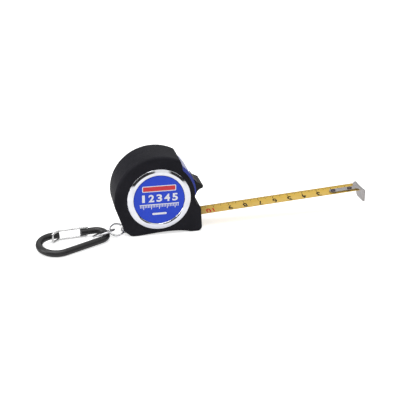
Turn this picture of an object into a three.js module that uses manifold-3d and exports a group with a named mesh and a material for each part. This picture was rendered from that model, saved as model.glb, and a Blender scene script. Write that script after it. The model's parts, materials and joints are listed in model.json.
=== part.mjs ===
// A pocket tape measure: two blue shells under black rubber covers, a spring-wound spool of steel blade,
// a sliding thumb lock, and a lanyard of three rings with a small wire-gate carabiner.
// Millimetres, +Z up. The spool axis runs along Y, the blade leaves towards +X, and the label faces -Y.
// Everything is drawn from the spool axis at x = 0 and stands on z = 0. The last lines move the origin
// to the middle of the front foot.

import * as THREE from 'three';
import { mergeVertices } from 'three/addons/utils/BufferGeometryUtils.js';
import Module from 'manifold-3d';

const wasm = await Module();
wasm.setup();

// Clearances
const fit = 0.2; // between pieces that stay together
const run = 0.3; // between pieces that move past each other

// Steel blade and how it leaves the spool
const bladeWidth = 12.7;
const bladeThickness = 0.25;
const bladeRise = 4.1; // degrees, the blade climbs away from the foot
const bladeShown = 111; // from the mouth to the outside of the hook
const troughRadius = 13.06; // curve across the blade once it is out of the case
const coilRadius = 18.2;
const coilBuild = 2.6; // thickness of the wound blade

// Spool
const flangeRim = 0.5; // flange beyond the coil
const flangeThickness = 0.8;
const drumWall = 1.1;
const arborRadius = 2.8;
const arborSlot = 0.9;
const washerThickness = 0.4;
const washerRadius = 4.4;
const hubBossRadius = 5.2;
const hubBossHeight = 1.2;

// Return spring
const springThickness = 0.3;
const springTurns = 8;

// Case walls
const coverWall = 1.0; // rubber round the rim
const shellWall = 1.2;
const coverSide = 1.4; // rubber on the flat sides
const shellSide = 1.6;
const partingY = 1.5;
const coverRound = 1.7;

// Case outline
const screwBossRadius = 2.3;
const spoolRoom = 2.0;
const floorRoom = 1.6;
const archRise = 1.6;
const backLean = 19.2; // degrees from upright
const heelCornerHeight = 3.6;
const heelSlopeLength = 4.0; // from the back corner to the edge of the heel
const heelEdgeHeight = 0.4;
const heelEdgeLength = 1.5;
const heelFlatLength = 4.0;
const toeFlatLength = 4.4;
const toeRadius = 3.0;
const noseProud = 4.5; // nose beyond the rim of the front opening
const noseLean = 0.4;
const noseRoundHeight = 4.0;
const notchRadius = 7.3;
const notchDrop = 1.75; // notch centre below the spool axis
const lipDrop = 4.15; // top of the nose below the notch centre
const rimTopAngle = 50; // where the rim of the opening starts to sweep out
const lipSweep = 7.6; // degrees on to the lip
const lipProud = 2.1; // lip beyond the rim
const topEdgeSweep = 12; // degrees on to the edge of the round top

// Lock
const lockTrackProud = 1.14; // blue wall that the button slides on, beyond the rim
const lockTrackX = -0.5; // its centre, from the spool axis
const lockTrackZ = 1.86;
const lockTravel = 10.5; // degrees about the spool axis, upwards
const openingLow = -1.2; // the front opening, degrees about the spool axis
const openingSweep = 8; // degrees from the top of the rim to the top of the opening
const lockLift = 0.65; // button above the track at its low end
const buttonHalf = 7.0;
const buttonLow = -6.5; // degrees about the centre of the track
const buttonTop = 34;
const tipAngle = 5.8;
const tipHeight = 5.06;
const shoulderAngle = 20.5;
const shoulderHeight = 2.86;
const buttonEdge = 1.0; // its thickness at its top end
const buttonRound = 0.4;
const grooveRadius = 0.85;
const grooveStep = 4; // degrees
const lockArmThickness = 1.1;
const lockArmHalf = 4.0;
const lockArmTop = 26;
const lockArmClear = 0.69; // arm's end over the blade's middle line
const padSpan = 14; // degrees
const padDepth = 3;
const stemLow = 14;
const stemHigh = 22;
const stemHalf = 2.6;
const stemRoom = 0.4; // slot beyond the stem, on each side
const stemSpare = 1.2; // degrees beyond its travel, at each end
const eyeSpare = 0.6; // degrees round the stem in the arm

// Label side
const bezelRadius = 19.75;
const bezelBore = 15.9;
const bezelProud = 0.9;
const labelThickness = 0.5;
const labelSet = 0.5; // label face below the crown of the bezel

// Screws
const screwRadius = 0.95;
const screwHeadRadius = 1.9;
const screwHeadHeight = 1.3;
const screwSink = 0.7; // head below the rear cover
const screwReach = 5.5; // into the front shell

// End hook
const hookWidth = 14.6;
const hookThickness = 0.8;
const hookDrop = 8.6; // below the blade's edges
const hookCorner = 2.2;
const hookTaper = 1.1;
const tongueLength = 22;
const tongueWidth = 5;
const shoulderLength = 3.6;
const rivetRadius = 0.8;
const rivetHeadRadius = 1.6;
const rivetHeadHeight = 0.7;
const rivetFootHeight = 0.4; // under the blade
const rivetNear = 8.3; // from the face of the hook
const rivetEnd = 2.3; // far rivet from the tongue's end

// Blade guide in the mouth
const guideThickness = 0.85;
const guideLength = 7.6;

// Lanyard
const pinRadius = 0.9;
const pinInset = 1.98; // pin ahead of the back corner of the heel
const pinZ = 3.8;
const recessRadius = 3.3;
const recessHalf = 3.5;
const recessY = -7.4;
const recessFlare = 0.7; // wider at its opening, on each side
const recessBack = 9; // out past the back of the case
const linkWire = 1.0;
const jumpWire = 1.1;
const jumpRadius = 4.45;
const jumpLean = 30; // degrees, its plane above the floor
const keyRingWire = 1.2;
const keyRingRadius = 6.8;
const keyRingReach = 1.76; // its end inside the end of the jump ring
const keyRingSide = 0.88;
const keyRingTurn = 33.3; // degrees, its level diameter from +X
const keyRingLean = 26.2; // degrees, its plane above the floor

// Carabiner, drawn flat about the centre of its small end with +X to the large end
const rodRadius = 2.1;
const smallEnd = 6.25;
const largeEnd = 10.5;
const endSpacing = 25.7;
const stubX = 7.4;
const noseBack = 5.3; // rod's free end, from the centre of the large end
const carabinerBack = 4.42; // its small end, from the key ring's end in the jump ring
const carabinerSide = 3.25;
const carabinerTurn = 17.3; // degrees
const gateWire = 1.4;
const gateGap = 0.15; // wire above and below the rod
const pivotX = 3.2;
const gateBendPast = 0.3; // gate's bend past the rod's free end
const gateEndBack = 0.3; // gate's end, from the centre of the large end

// Places that follow from the sizes above
const flangeRadius = coilRadius + flangeRim;
const axisHeight = flangeRadius + floorRoom + shellWall + coverWall + archRise;
const lockArmInner = flangeRadius + 0.4;
const lockArmOuter = lockArmInner + lockArmThickness;
const notchWallInner = lockArmOuter + 0.5;
const rimRadius = notchWallInner + shellWall + coverWall;
const lockTrackRadius = rimRadius + lockTrackProud;
const noseReach = rimRadius + noseProud;
const caseRadius = flangeRadius + spoolRoom + 2 * screwBossRadius + shellWall + coverWall;
const cavityRadius = caseRadius - coverWall - shellWall;
const bladeHalf = bladeWidth / 2;
const flangeIn = bladeHalf + run;
const flangeOut = flangeIn + flangeThickness;
const washerIn = flangeOut + run;
const washerOut = washerIn + washerThickness;
const hubBossY = washerOut + fit;
const cavityHalf = hubBossY + hubBossHeight;
const shellHalf = cavityHalf + shellSide;
const caseHalf = shellHalf + coverSide;
const notchX = rimRadius + notchRadius;
const notchZ = axisHeight - notchDrop;
const noseTop = notchZ - lipDrop;
const noseFaceTop = noseTop - noseRoundHeight;
const bezelCrown = caseHalf + bezelProud;
const drumRadius = coilRadius - coilBuild - fit;
const toeFlatEnd = noseReach - toeRadius;
const toeFlatStart = toeFlatEnd - toeFlatLength;
const footX = (toeFlatStart + toeFlatEnd) / 2;
const openingTop = rimTopAngle + openingSweep;

const deg = THREE.MathUtils.degToRad;
const degrees = THREE.MathUtils.radToDeg;
const rise = deg(bladeRise);
const backEndX = -caseRadius * Math.cos(deg(backLean));
const backEndZ = axisHeight - caseRadius * Math.sin(deg(backLean));
const heelCornerX = backEndX + (backEndZ - heelCornerHeight) * Math.tan(deg(backLean));
const pinX = heelCornerX + pinInset;
const lockArmEnd = bladeRise - degrees(Math.asin((coilRadius - lockArmClear) / lockArmOuter));
const far = 60; // beyond everything, for cutting blocks

// ---------------------------------------------------------------------------------------------------
// Solids

function solidOf(geometry) {
  const bare = new THREE.BufferGeometry();
  bare.setAttribute('position', geometry.getAttribute('position'));
  bare.setIndex(geometry.getIndex());
  const merged = mergeVertices(bare, 1e-4);
  const at = merged.getAttribute('position');
  const corners = [];
  let volume = 0;
  for (let i = 0; i < merged.index.count; i += 3) {
    const [a, b, c] = [0, 1, 2].map((k) => merged.index.getX(i + k));
    if (a === b || b === c || c === a) continue;
    corners.push(a, b, c);
    const [p, q, r] = [a, b, c].map((k) => new THREE.Vector3().fromBufferAttribute(at, k));
    volume += p.dot(q.cross(r));
  }
  if (volume < 0) corners.reverse();
  return new wasm.Manifold(new wasm.Mesh({
    numProp: 3,
    vertProperties: new Float32Array(at.array),
    triVerts: new Uint32Array(corners),
  }));
}

function geometryOf(solid) {
  const mesh = solid.getMesh();
  const geometry = new THREE.BufferGeometry();
  geometry.setAttribute('position', new THREE.BufferAttribute(mesh.vertProperties, 3));
  geometry.setIndex(new THREE.BufferAttribute(mesh.triVerts, 1));
  geometry.computeVertexNormals();
  return geometry;
}

const join = (first, ...others) => others.reduce((sum, next) => sum.add(next), first);
const cut = (body, ...tools) => tools.reduce((left, tool) => left.subtract(tool), body);

// An outline in X and Z, drawn out along Y from y0 to y1. A round edge runs round both faces.
function slab(points, y0, y1, round = 0) {
  const geometry = new THREE.ExtrudeGeometry(new THREE.Shape(points), {
    depth: y1 - y0 - 2 * round,
    bevelEnabled: round > 0,
    bevelThickness: round,
    bevelSize: round,
    bevelOffset: -round,
    bevelSegments: 3,
  });
  geometry.rotateX(Math.PI / 2).translate(0, y1 - round, 0);
  return solidOf(geometry);
}

// An outline in Y and Z, drawn out along X from x0 to x1.
function plate(points, x0, x1) {
  const shape = new THREE.Shape(points);
  const geometry = new THREE.ExtrudeGeometry(shape, { depth: x1 - x0, bevelEnabled: false });
  return solidOf(geometry.rotateX(Math.PI / 2).rotateZ(Math.PI / 2).translate(x0, 0, 0));
}

function block(x0, x1, y0, y1, z0, z1) {
  const geometry = new THREE.BoxGeometry(x1 - x0, y1 - y0, z1 - z0);
  return solidOf(geometry.translate((x0 + x1) / 2, (y0 + y1) / 2, (z0 + z1) / 2));
}

// A cylinder along Y, with its axis at (x, z).
function rod(radius, y0, y1, x = 0, z = axisHeight, sides = 24) {
  const geometry = new THREE.CylinderGeometry(radius, radius, y1 - y0, sides);
  return solidOf(geometry.translate(x, (y0 + y1) / 2, z));
}

// A closed profile of [radius, y] pairs turned round the spool axis, or round another line along Y.
function turned(profile, sides = 40, x = 0, z = axisHeight) {
  const points = profile.map(([radius, y]) => new THREE.Vector2(radius, y));
  const geometry = new THREE.LatheGeometry([...points, points[0]], sides);
  return solidOf(geometry.translate(x, 0, z));
}

function tube(path, radius, sides, steps) {
  const section = new THREE.Shape().absarc(0, 0, radius, 0, 2 * Math.PI);
  const settings = { steps, extrudePath: path, bevelEnabled: false, curveSegments: sides / 2 };
  return solidOf(new THREE.ExtrudeGeometry(section, settings));
}

function ring(radius, wire, sides = 8, steps = 28) {
  return solidOf(new THREE.TorusGeometry(radius, wire / 2, sides, steps));
}

// ---------------------------------------------------------------------------------------------------
// Outlines in X and Z

const at = (x, z) => new THREE.Vector2(x, z);

function arc(x, z, radius, from, to, step = 7.5) {
  const count = Math.max(2, Math.ceil(Math.abs(to - from) / step));
  return Array.from({ length: count + 1 }, (_, i) => {
    const angle = deg(from + ((to - from) * i) / count);
    return at(x + radius * Math.cos(angle), z + radius * Math.sin(angle));
  });
}

const aboutSpool = (radius, angle) => at(
  radius * Math.cos(deg(angle)),
  axisHeight + radius * Math.sin(deg(angle)),
);

// Counter-clockwise: arch, front foot, nose, finger notch, rim of the lock opening, round top, back.
function caseOutline() {
  const heelCorner = at(heelCornerX, heelCornerHeight);
  const heelEdge = at(heelCorner.x + heelSlopeLength, heelEdgeHeight);
  const heelFlat = at(heelEdge.x + heelEdgeLength, 0);
  const heelFlatEnd = at(heelFlat.x + heelFlatLength, 0);
  const span = toeFlatStart - heelFlatEnd.x;
  const arch = new THREE.CubicBezierCurve(
    heelFlatEnd,
    at(heelFlatEnd.x + 0.32 * span, 0.62 * archRise),
    at(heelFlatEnd.x + 0.72 * span, 1.75 * archRise),
    at(toeFlatStart, 0),
  );
  const lipAngle = 180 + degrees(Math.asin(lipDrop / notchRadius));
  const lip = at(
    notchX + notchRadius * Math.cos(deg(lipAngle)),
    notchZ + notchRadius * Math.sin(deg(lipAngle)),
  );
  const noseFace = at(noseReach - noseLean, noseFaceTop);
  const nose = new THREE.QuadraticBezierCurve(noseFace, at(noseFace.x, noseTop - 1.2), lip);
  const rimEnd = aboutSpool(rimRadius, rimTopAngle);
  const lipLow = aboutSpool(rimRadius + lipProud, rimTopAngle + lipSweep);
  const sweep = new THREE.QuadraticBezierCurve(rimEnd, at(lipLow.x + 0.2, lipLow.y - 2.6), lipLow);
  return [
    ...arch.getPoints(8),
    ...arc(toeFlatEnd, toeRadius, toeRadius, -90, 0, 22.5),
    ...nose.getPoints(4),
    ...arc(notchX, notchZ, notchRadius, lipAngle, 180).slice(1),
    ...arc(0, axisHeight, rimRadius, 0, rimTopAngle),
    ...sweep.getPoints(4).slice(1),
    ...arc(0, axisHeight, caseRadius, rimTopAngle + topEdgeSweep, 180 + backLean),
    heelCorner,
    heelEdge,
    heelFlat,
  ];
}

// The same outline moved inwards, each corner along the line between its two edges.
function inset(points, distance) {
  return points.map((point, i) => {
    const before = points[(i + points.length - 1) % points.length];
    const after = points[(i + 1) % points.length];
    const [p, q] = [point.clone().sub(before), after.clone().sub(point)].map((edge) => {
      edge.normalize();
      return at(-edge.y, edge.x);
    });
    const reach = distance / (1 + p.dot(q));
    return point.clone().addScaledVector(p.add(q), reach);
  });
}

// A wedge between two angles about the spool axis, from one radius to another.
function wedge(inner, outer, from, to) {
  return [
    ...arc(0, axisHeight, outer, from, to),
    ...arc(0, axisHeight, inner, to, from),
  ];
}

// The height of the blade's middle line over the floor.
const leave = { x: coilRadius * Math.sin(rise), z: axisHeight - coilRadius * Math.cos(rise) };
const lineHeight = (x) => leave.z + (x - leave.x) * Math.tan(rise);

// A four-sided outline along the blade from xa to xb, between two heights over its middle line.
function alongBlade(xa, xb, low, high) {
  return [
    at(xa, lineHeight(xa) + low),
    at(xb, lineHeight(xb) + low),
    at(xb, lineHeight(xb) + high),
    at(xa, lineHeight(xa) + high),
  ];
}

// ---------------------------------------------------------------------------------------------------
// Bent strips along the blade. X runs along the blade from where it leaves the coil, Z is square to it.

// How far the strip's bottom lies under its own middle line when it is bent to a radius.
const dip = (radius) => {
  const half = bladeHalf / radius;
  return radius * (1 - Math.sin(half) / half);
};
const troughBottom = -dip(troughRadius) - bladeThickness / 2;
const troughEdge = troughRadius * (1 - Math.cos(bladeHalf / troughRadius))
  - dip(troughRadius) + bladeThickness / 2;
const troughCentre = troughRadius - dip(troughRadius);

// The hook's tongue lies in the trough, and the rivet heads lie on the tongue.
const tongueLift = (bladeThickness + hookThickness) / 2 + fit + 0.05;
const tongueTop = troughRadius - tongueLift - hookThickness / 2;
const rivetSeat = troughCentre - Math.sqrt(tongueTop ** 2 - rivetHeadRadius ** 2) + fit;
const rivetTop = rivetSeat + rivetHeadHeight;

// One section: half its width, the radius it is bent to, its middle's lift off the blade's, its thickness.
function section({ x, half, radius = troughRadius, lift = 0, thickness }, across) {
  const centre = radius - dip(radius);
  return [-1, 1].map((side) => Array.from({ length: across + 1 }, (_, i) => {
    const angle = ((2 * i) / across - 1) * (half / radius);
    const reach = radius - lift + (side * thickness) / 2;
    return new THREE.Vector3(x, reach * Math.sin(angle), centre - reach * Math.cos(angle));
  }));
}

function strip(stations, across = 8) {
  const loops = stations.map((station) => {
    const [top, bottom] = section(station, across);
    return [...top, ...bottom.reverse()];
  });
  const size = loops[0].length;
  const corners = [];
  for (let s = 0; s + 1 < loops.length; s += 1) {
    for (let i = 0; i < size; i += 1) {
      const [a, b] = [s * size + i, s * size + ((i + 1) % size)];
      corners.push(a, b, b + size, a, b + size, a + size);
    }
  }
  for (let i = 0; i < across; i += 1) {
    const [a, b, c, d] = [i, i + 1, size - 2 - i, size - 1 - i];
    const end = (loops.length - 1) * size;
    corners.push(a, c, b, a, d, c, end + a, end + b, end + c, end + a, end + c, end + d);
  }
  const geometry = new THREE.BufferGeometry().setFromPoints(loops.flat());
  geometry.setIndex(corners);
  return solidOf(geometry);
}

// ---------------------------------------------------------------------------------------------------
// Case

const lockSlot = () => slab(
  wedge(rimRadius - 3, lockTrackRadius + 4, stemLow - stemSpare, stemHigh + lockTravel + stemSpare),
  -stemHalf - stemRoom,
  stemHalf + stemRoom,
);

// The blue wall that shows in the front opening, grown by a gap where a neighbour is cut by it.
function trackWall(half, grow = 0) {
  const spread = degrees(grow / rimRadius);
  const opening = wedge(rimRadius - 4, caseRadius + 2, openingLow - spread, openingTop + spread);
  const track = rod(lockTrackRadius + grow, -half, half, lockTrackX, axisHeight + lockTrackZ, 60);
  const notch = rod(notchRadius + fit - grow, -far, far, notchX, notchZ, 48);
  return cut(slab(opening, -half, half).intersect(track), notch);
}

function cavity() {
  const round = rod(cavityRadius, -cavityHalf, cavityHalf, 0, axisHeight, 60);
  const floor = block(-far, far, -far, far, -far, archRise + coverWall + shellWall);
  const notch = rod(notchX - notchWallInner, -far, far, notchX, notchZ, 48);
  const front = slab(wedge(1, far, openingLow - 0.8, openingTop + 6), -far, far);
  const track = rod(lockTrackRadius - shellWall, -far, far, lockTrackX, axisHeight + lockTrackZ, 60);
  return cut(round, floor, notch, cut(front, track));
}

const mouthLow = troughBottom - run - guideThickness - fit;
const mouthHigh = Math.max(troughEdge, rivetTop) + run;
const mouth = () => slab(
  alongBlade(coilRadius * 0.6, noseReach + 5, mouthLow, mouthHigh),
  -bladeHalf - run,
  bladeHalf + run,
);

const recess = () => {
  const rounded = rod(recessRadius, recessY - recessHalf, recessY + recessHalf, pinX, pinZ);
  const opening = [
    at(pinX - recessBack, pinZ - recessBack),
    at(pinX - recessRadius * 0.3, pinZ - recessRadius * 1.5),
    at(pinX - recessRadius * 0.3, pinZ + recessRadius),
    at(pinX - recessBack, pinZ + recessRadius * 1.1),
  ];
  const mouthHalf = recessHalf + recessFlare;
  return join(rounded, slab(opening, recessY - mouthHalf, recessY + mouthHalf));
};

const screwPlaces = [
  aboutSpool(cavityRadius - screwBossRadius + fit, 112),
  aboutSpool(cavityRadius - screwBossRadius + fit, 205),
  at(noseReach - screwBossRadius - 1.6, noseFaceTop - 0.6),
];

function shellBlank() {
  const outline = inset(caseOutline(), coverWall);
  const body = join(slab(outline, -shellHalf, shellHalf), trackWall(shellHalf));
  const bosses = screwPlaces.map((place) => (
    rod(screwBossRadius, -cavityHalf - 0.5, cavityHalf + 0.5, place.x, place.y, 20)
  ));
  const hub = (y0, y1) => rod(hubBossRadius, y0, y1, 0, axisHeight, 32);
  const filled = join(
    cut(body, cavity()),
    ...bosses,
    hub(-cavityHalf - 0.5, -hubBossY),
    hub(hubBossY, cavityHalf + 0.5),
  );
  const arborHole = rod(arborRadius + fit, -cavityHalf - 0.4, cavityHalf + 0.4, 0, axisHeight, 24);
  return cut(filled, mouth(), lockSlot(), arborHole);
}

function coverBlank() {
  const outline = caseOutline();
  const outer = slab(outline, -caseHalf, caseHalf, coverRound);
  const room = slab(inset(outline, coverWall - fit), -shellHalf - fit, shellHalf + fit);
  return cut(outer, room, trackWall(shellHalf + fit, fit), mouth());
}

const frontHalf = () => block(-far, far, -far, partingY - fit / 2, -far, far);
const rearHalf = () => block(-far, far, partingY + fit / 2, far, -far, far);

function frontShell() {
  const plateauFace = -labelFaceY() + labelThickness + fit / 2;
  const plateau = rod(bezelBore - fit, plateauFace, -shellHalf + 0.5, 0, axisHeight, 48);
  const threads = screwPlaces.map((place) => (
    rod(screwRadius + fit, screwTip() - 0.3, partingY + 1, place.x, place.y, 14)
  ));
  return cut(join(shellBlank().intersect(frontHalf()), plateau), recess(), pinHole(), ...threads);
}

function rearShell() {
  const holes = screwPlaces.map((place) => join(
    rod(screwRadius + fit, partingY - 1, far, place.x, place.y, 14),
    rod(screwHeadRadius + fit, headSeatY() - fit, far, place.x, place.y, 20),
  ));
  return cut(shellBlank().intersect(rearHalf()), ...holes);
}

function frontCover() {
  const window = rod(bezelRadius + fit, -far, -shellHalf + 0.5, 0, axisHeight, 60);
  return cut(coverBlank().intersect(frontHalf()), window, recess(), pinHole());
}

function rearCover() {
  const holes = screwPlaces.map((place) => (
    rod(screwHeadRadius + 0.5, shellHalf - 1, far, place.x, place.y, 20)
  ));
  return cut(coverBlank().intersect(rearHalf()), ...holes);
}

const labelFaceY = () => bezelCrown - labelSet;

function bezelRing() {
  const seat = -shellHalf - fit;
  return turned([
    [bezelBore, seat],
    [bezelRadius, seat],
    [bezelRadius, -caseHalf - 0.1],
    [bezelRadius - 0.5, -bezelCrown + 0.25],
    [bezelRadius - 1.2, -bezelCrown],
    [bezelBore + 1.3, -bezelCrown],
    [bezelBore + 0.4, -bezelCrown + 0.25],
    [bezelBore, -labelFaceY() + 0.1],
  ], 52);
}

function labelDisc() {
  const radius = bezelBore - fit;
  const face = -labelFaceY();
  return turned([[0, face], [radius, face], [radius, face + labelThickness], [0, face + labelThickness]], 60);
}

const headSeatY = () => caseHalf - screwSink - screwHeadHeight;
const screwTip = () => partingY - screwReach;

function caseScrew(place) {
  return turned([
    [0, screwTip()],
    [screwRadius, screwTip() + 0.8],
    [screwRadius, headSeatY()],
    [screwHeadRadius, headSeatY()],
    [screwHeadRadius, headSeatY() + screwHeadHeight * 0.6],
    [screwHeadRadius * 0.6, headSeatY() + screwHeadHeight],
    [0, headSeatY() + screwHeadHeight],
  ], 14, place.x, place.y);
}

// ---------------------------------------------------------------------------------------------------
// Spool, spring and coil

function spoolDrum() {
  const bore = arborRadius + run;
  const drumIn = drumRadius - drumWall;
  return turned([
    [bore, flangeOut],
    [bore, flangeIn],
    [drumIn, flangeIn],
    [drumIn, -flangeIn + fit],
    [drumRadius, -flangeIn + fit],
    [drumRadius, flangeIn],
    [flangeRadius, flangeIn],
    [flangeRadius, flangeOut],
  ]);
}

function spoolCover() {
  const bore = arborRadius + run;
  const lip = drumRadius - drumWall - fit;
  return turned([
    [bore, -flangeOut],
    [flangeRadius, -flangeOut],
    [flangeRadius, -flangeIn],
    [lip, -flangeIn],
    [lip, -flangeIn + 1],
    [lip - 0.8, -flangeIn + 1],
    [lip - 0.8, -flangeIn],
    [bore, -flangeIn],
  ]);
}

function spoolWasher(y0, y1) {
  return turned([
    [arborRadius + run, y0],
    [washerRadius, y0],
    [washerRadius, y1],
    [arborRadius + run, y1],
  ], 28);
}

// A fixed post with a slot that holds the spring's inner end.
function springArbor() {
  const post = rod(arborRadius, -cavityHalf - 0.2, cavityHalf + 0.2, 0, axisHeight, 24);
  const slot = block(
    -arborSlot / 2, arborSlot / 2,
    -flangeIn, flangeIn,
    axisHeight - far, axisHeight + arborRadius * 0.55,
  );
  return cut(post, slot);
}

// A flat spiral: its tongue stands in the arbor's slot and its outer end lies at the drum's wall.
function driveSpring() {
  const first = arborRadius + run + springThickness;
  const last = drumRadius - drumWall - run - springThickness;
  const steps = springTurns * 16;
  const centre = [at(0, 0), at(0, -arborRadius - 0.2)];
  for (let i = 1; i <= steps; i += 1) {
    const radius = first + ((last - first) * i) / steps;
    const angle = -Math.PI / 2 + (2 * Math.PI * springTurns * i) / steps;
    centre.push(at(radius * Math.cos(angle), radius * Math.sin(angle)));
  }
  const sides = [1, -1].map((side) => centre.map((point, i) => {
    const before = centre[Math.max(i - 1, 0)];
    const after = centre[Math.min(i + 1, centre.length - 1)];
    const along = after.clone().sub(before).setLength((side * springThickness) / 2);
    return at(point.x - along.y, point.y + along.x);
  }));
  const outline = [...sides[0], ...sides[1].reverse()].map((point) => at(point.x, axisHeight + point.y));
  const half = flangeIn - 1 - run;
  return slab(outline, -half, half);
}

// The wound blade, with the step that its outer end leaves where it comes off.
function bladeCoil() {
  const inner = coilRadius - coilBuild;
  const outer = coilRadius - bladeThickness / 2 - run;
  const step = bladeThickness;
  const turn = Array.from({ length: 61 }, (_, i) => (
    aboutSpool(outer - (step * i) / 60, -90 - 6 * i)
  ));
  const bore = rod(inner, -far, far, 0, axisHeight, 48);
  return cut(slab(turn.reverse(), -bladeHalf, bladeHalf), bore);
}

// ---------------------------------------------------------------------------------------------------
// Blade, rivets and hook

const mouthAlong = (noseReach - leave.x) / Math.cos(rise);
const hookAlong = mouthAlong + bladeShown;
const rivetPlaces = [rivetNear, tongueLength - rivetEnd].map((back) => hookAlong - back);

// A cylinder square to the blade.
function upright(radius, x, z0, z1, sides = 14) {
  const geometry = new THREE.CylinderGeometry(radius, radius, z1 - z0, sides).rotateX(Math.PI / 2);
  return solidOf(geometry.translate(x, 0, (z0 + z1) / 2));
}

function blade() {
  const settle = [0, 0.12, 0.3, 0.5, 0.7, 0.88, 1];
  const stations = settle.map((share) => ({
    x: 1.2 + share * (mouthAlong - guideLength - 4),
    half: bladeHalf,
    radius: troughRadius / Math.max(share * share * (3 - 2 * share), 0.02),
    thickness: bladeThickness,
  }));
  const end = { half: bladeHalf, thickness: bladeThickness };
  stations.push({ ...end, x: hookAlong - hookThickness - run - 1.5 });
  stations.push({ ...end, x: hookAlong - hookThickness - run, half: bladeHalf - 1.5 });
  const holes = rivetPlaces.map((x) => upright(rivetRadius + fit, x, -3, 3));
  return cut(strip(stations), ...holes);
}

const rivetFootRadius = rivetHeadRadius * 0.85;

function rivet(x) {
  const low = troughBottom;
  const high = rivetSeat;
  const points = [
    [0, low - rivetFootHeight],
    [rivetFootRadius * 0.8, low - rivetFootHeight],
    [rivetFootRadius, low - 0.1],
    [rivetRadius, low - 0.1],
    [rivetRadius, high],
    [rivetHeadRadius, high],
    [rivetHeadRadius * 0.85, high + rivetHeadHeight * 0.57],
    [rivetHeadRadius * 0.45, high + rivetHeadHeight * 0.93],
    [0, rivetTop],
  ].map(([radius, z]) => new THREE.Vector2(radius, z));
  const geometry = new THREE.LatheGeometry(points, 14).rotateX(Math.PI / 2);
  return solidOf(geometry.translate(x, 0, 0));
}

function endHook() {
  const half = hookWidth / 2;
  const base = { lift: tongueLift, thickness: hookThickness };
  const back = hookAlong - tongueLength;
  const top = strip([
    { ...base, x: back, half: tongueWidth * 0.22 },
    { ...base, x: back + 0.5, half: tongueWidth * 0.4 },
    { ...base, x: back + 1.4, half: tongueWidth / 2 },
    { ...base, x: hookAlong - shoulderLength - 1.2, half: tongueWidth / 2 },
    { ...base, x: hookAlong - shoulderLength, half: half - 0.6 },
    { ...base, x: hookAlong - shoulderLength + 0.6, half },
    { ...base, x: hookAlong, half },
  ], 12);
  const [, upper] = section({ x: 0, half, lift: tongueLift, thickness: 0.2 }, 12);
  const rim = upper.map((point) => at(point.y, point.z));
  const low = troughEdge - hookDrop;
  const foot = half - hookTaper;
  const leg = plate([
    ...rim.reverse(),
    ...arc(-foot + hookCorner, low + hookCorner, hookCorner, 180, 270, 30),
    ...arc(foot - hookCorner, low + hookCorner, hookCorner, 270, 360, 30),
  ], hookAlong - hookThickness, hookAlong);
  const slots = rivetPlaces.map((x) => join(
    upright(rivetRadius + fit, x, -3, 3),
    block(x - hookThickness, x, -rivetRadius - fit, rivetRadius + fit, -3, 3),
    upright(rivetRadius + fit, x - hookThickness, -3, 3),
  ));
  return cut(join(top, leg), ...slots);
}

// The curved bed under the blade, with a groove for the rivets' feet.
function mouthGuide() {
  const lift = -bladeThickness / 2 - run - guideThickness / 2;
  const common = { half: bladeHalf - 0.2, lift, thickness: guideThickness };
  const [back, front] = [mouthAlong - 0.8 - guideLength, mouthAlong - 0.8];
  const body = strip([{ ...common, x: back }, { ...common, x: front }], 8);
  const half = rivetFootRadius + run;
  return cut(body, block(back - 1, front + 1, -half, half, troughBottom - rivetFootHeight - run, 0));
}

// ---------------------------------------------------------------------------------------------------
// Lock

function lockButton() {
  const base = lockTrackRadius + lockLift;
  const [x, z] = [lockTrackX, axisHeight + lockTrackZ];
  const over = (height, angle) => at(
    x + (base + height) * Math.cos(deg(angle)),
    z + (base + height) * Math.sin(deg(angle)),
  );
  const under = arc(x, z, base, buttonTop, buttonLow);
  const tip = over(tipHeight, tipAngle);
  const shoulder = over(shoulderHeight, shoulderAngle);
  const middle = (tipAngle + shoulderAngle) / 2;
  const inTip = at(tip.x - 0.3, tip.y - tipHeight / 2);
  const back = new THREE.QuadraticBezierCurve(under[under.length - 1], inTip, tip);
  const crown = new THREE.QuadraticBezierCurve(tip, over(tipHeight - 0.1, middle - 1), shoulder);
  const topEnd = over(buttonEdge, buttonTop);
  const sweep = over((shoulderHeight + buttonEdge) / 2, (shoulderAngle + buttonTop) / 2);
  const top = new THREE.QuadraticBezierCurve(shoulder, sweep, topEnd);
  const outline = [
    ...under,
    ...back.getPoints(4).slice(1),
    ...crown.getPoints(3).slice(1),
    ...top.getPoints(3).slice(1),
  ];
  const body = slab(outline.reverse(), -buttonHalf, buttonHalf, buttonRound);
  const grooves = [-1, 0, 1].map((i) => {
    const place = over(tipHeight, middle + 0.6 + i * grooveStep);
    return rod(grooveRadius, 1.4 - buttonHalf, buttonHalf - 1.4, place.x, place.y, 10);
  });
  const stem = slab(wedge(lockArmInner + 0.1, base + 0.8, stemLow, stemHigh), -stemHalf, stemHalf);
  return join(cut(body, ...grooves), stem);
}

function lockArm() {
  const strap = slab(wedge(lockArmInner, lockArmOuter, lockArmEnd, lockArmTop), -lockArmHalf, lockArmHalf);
  const eye = slab(
    wedge(lockArmInner - 2, lockArmOuter + 2, stemLow - eyeSpare, stemHigh + eyeSpare),
    -stemHalf - fit,
    stemHalf + fit,
  );
  return cut(strap, eye, rivetPath());
}

// Room for the hook's tongue and the rivet heads, which come in over the blade when it is wound up.
const rivetPath = () => slab(
  alongBlade(0, noseReach, -run, rivetTop + run),
  -tongueWidth / 2 - run,
  tongueWidth / 2 + run,
);

// The pad under the arm's end. Its two feet press on the blade, one on each side of the rivets.
function brakePad() {
  const wide = slab(
    wedge(lockArmOuter + fit, lockArmOuter + padDepth, lockArmEnd, lockArmEnd + padSpan),
    -lockArmHalf,
    lockArmHalf,
  );
  const sag = troughCentre - Math.sqrt(troughRadius ** 2 - lockArmHalf ** 2) + bladeThickness / 2;
  const over = slab(alongBlade(0, far, sag + run, far), -far, far);
  return cut(wide.intersect(over), rivetPath());
}

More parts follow.
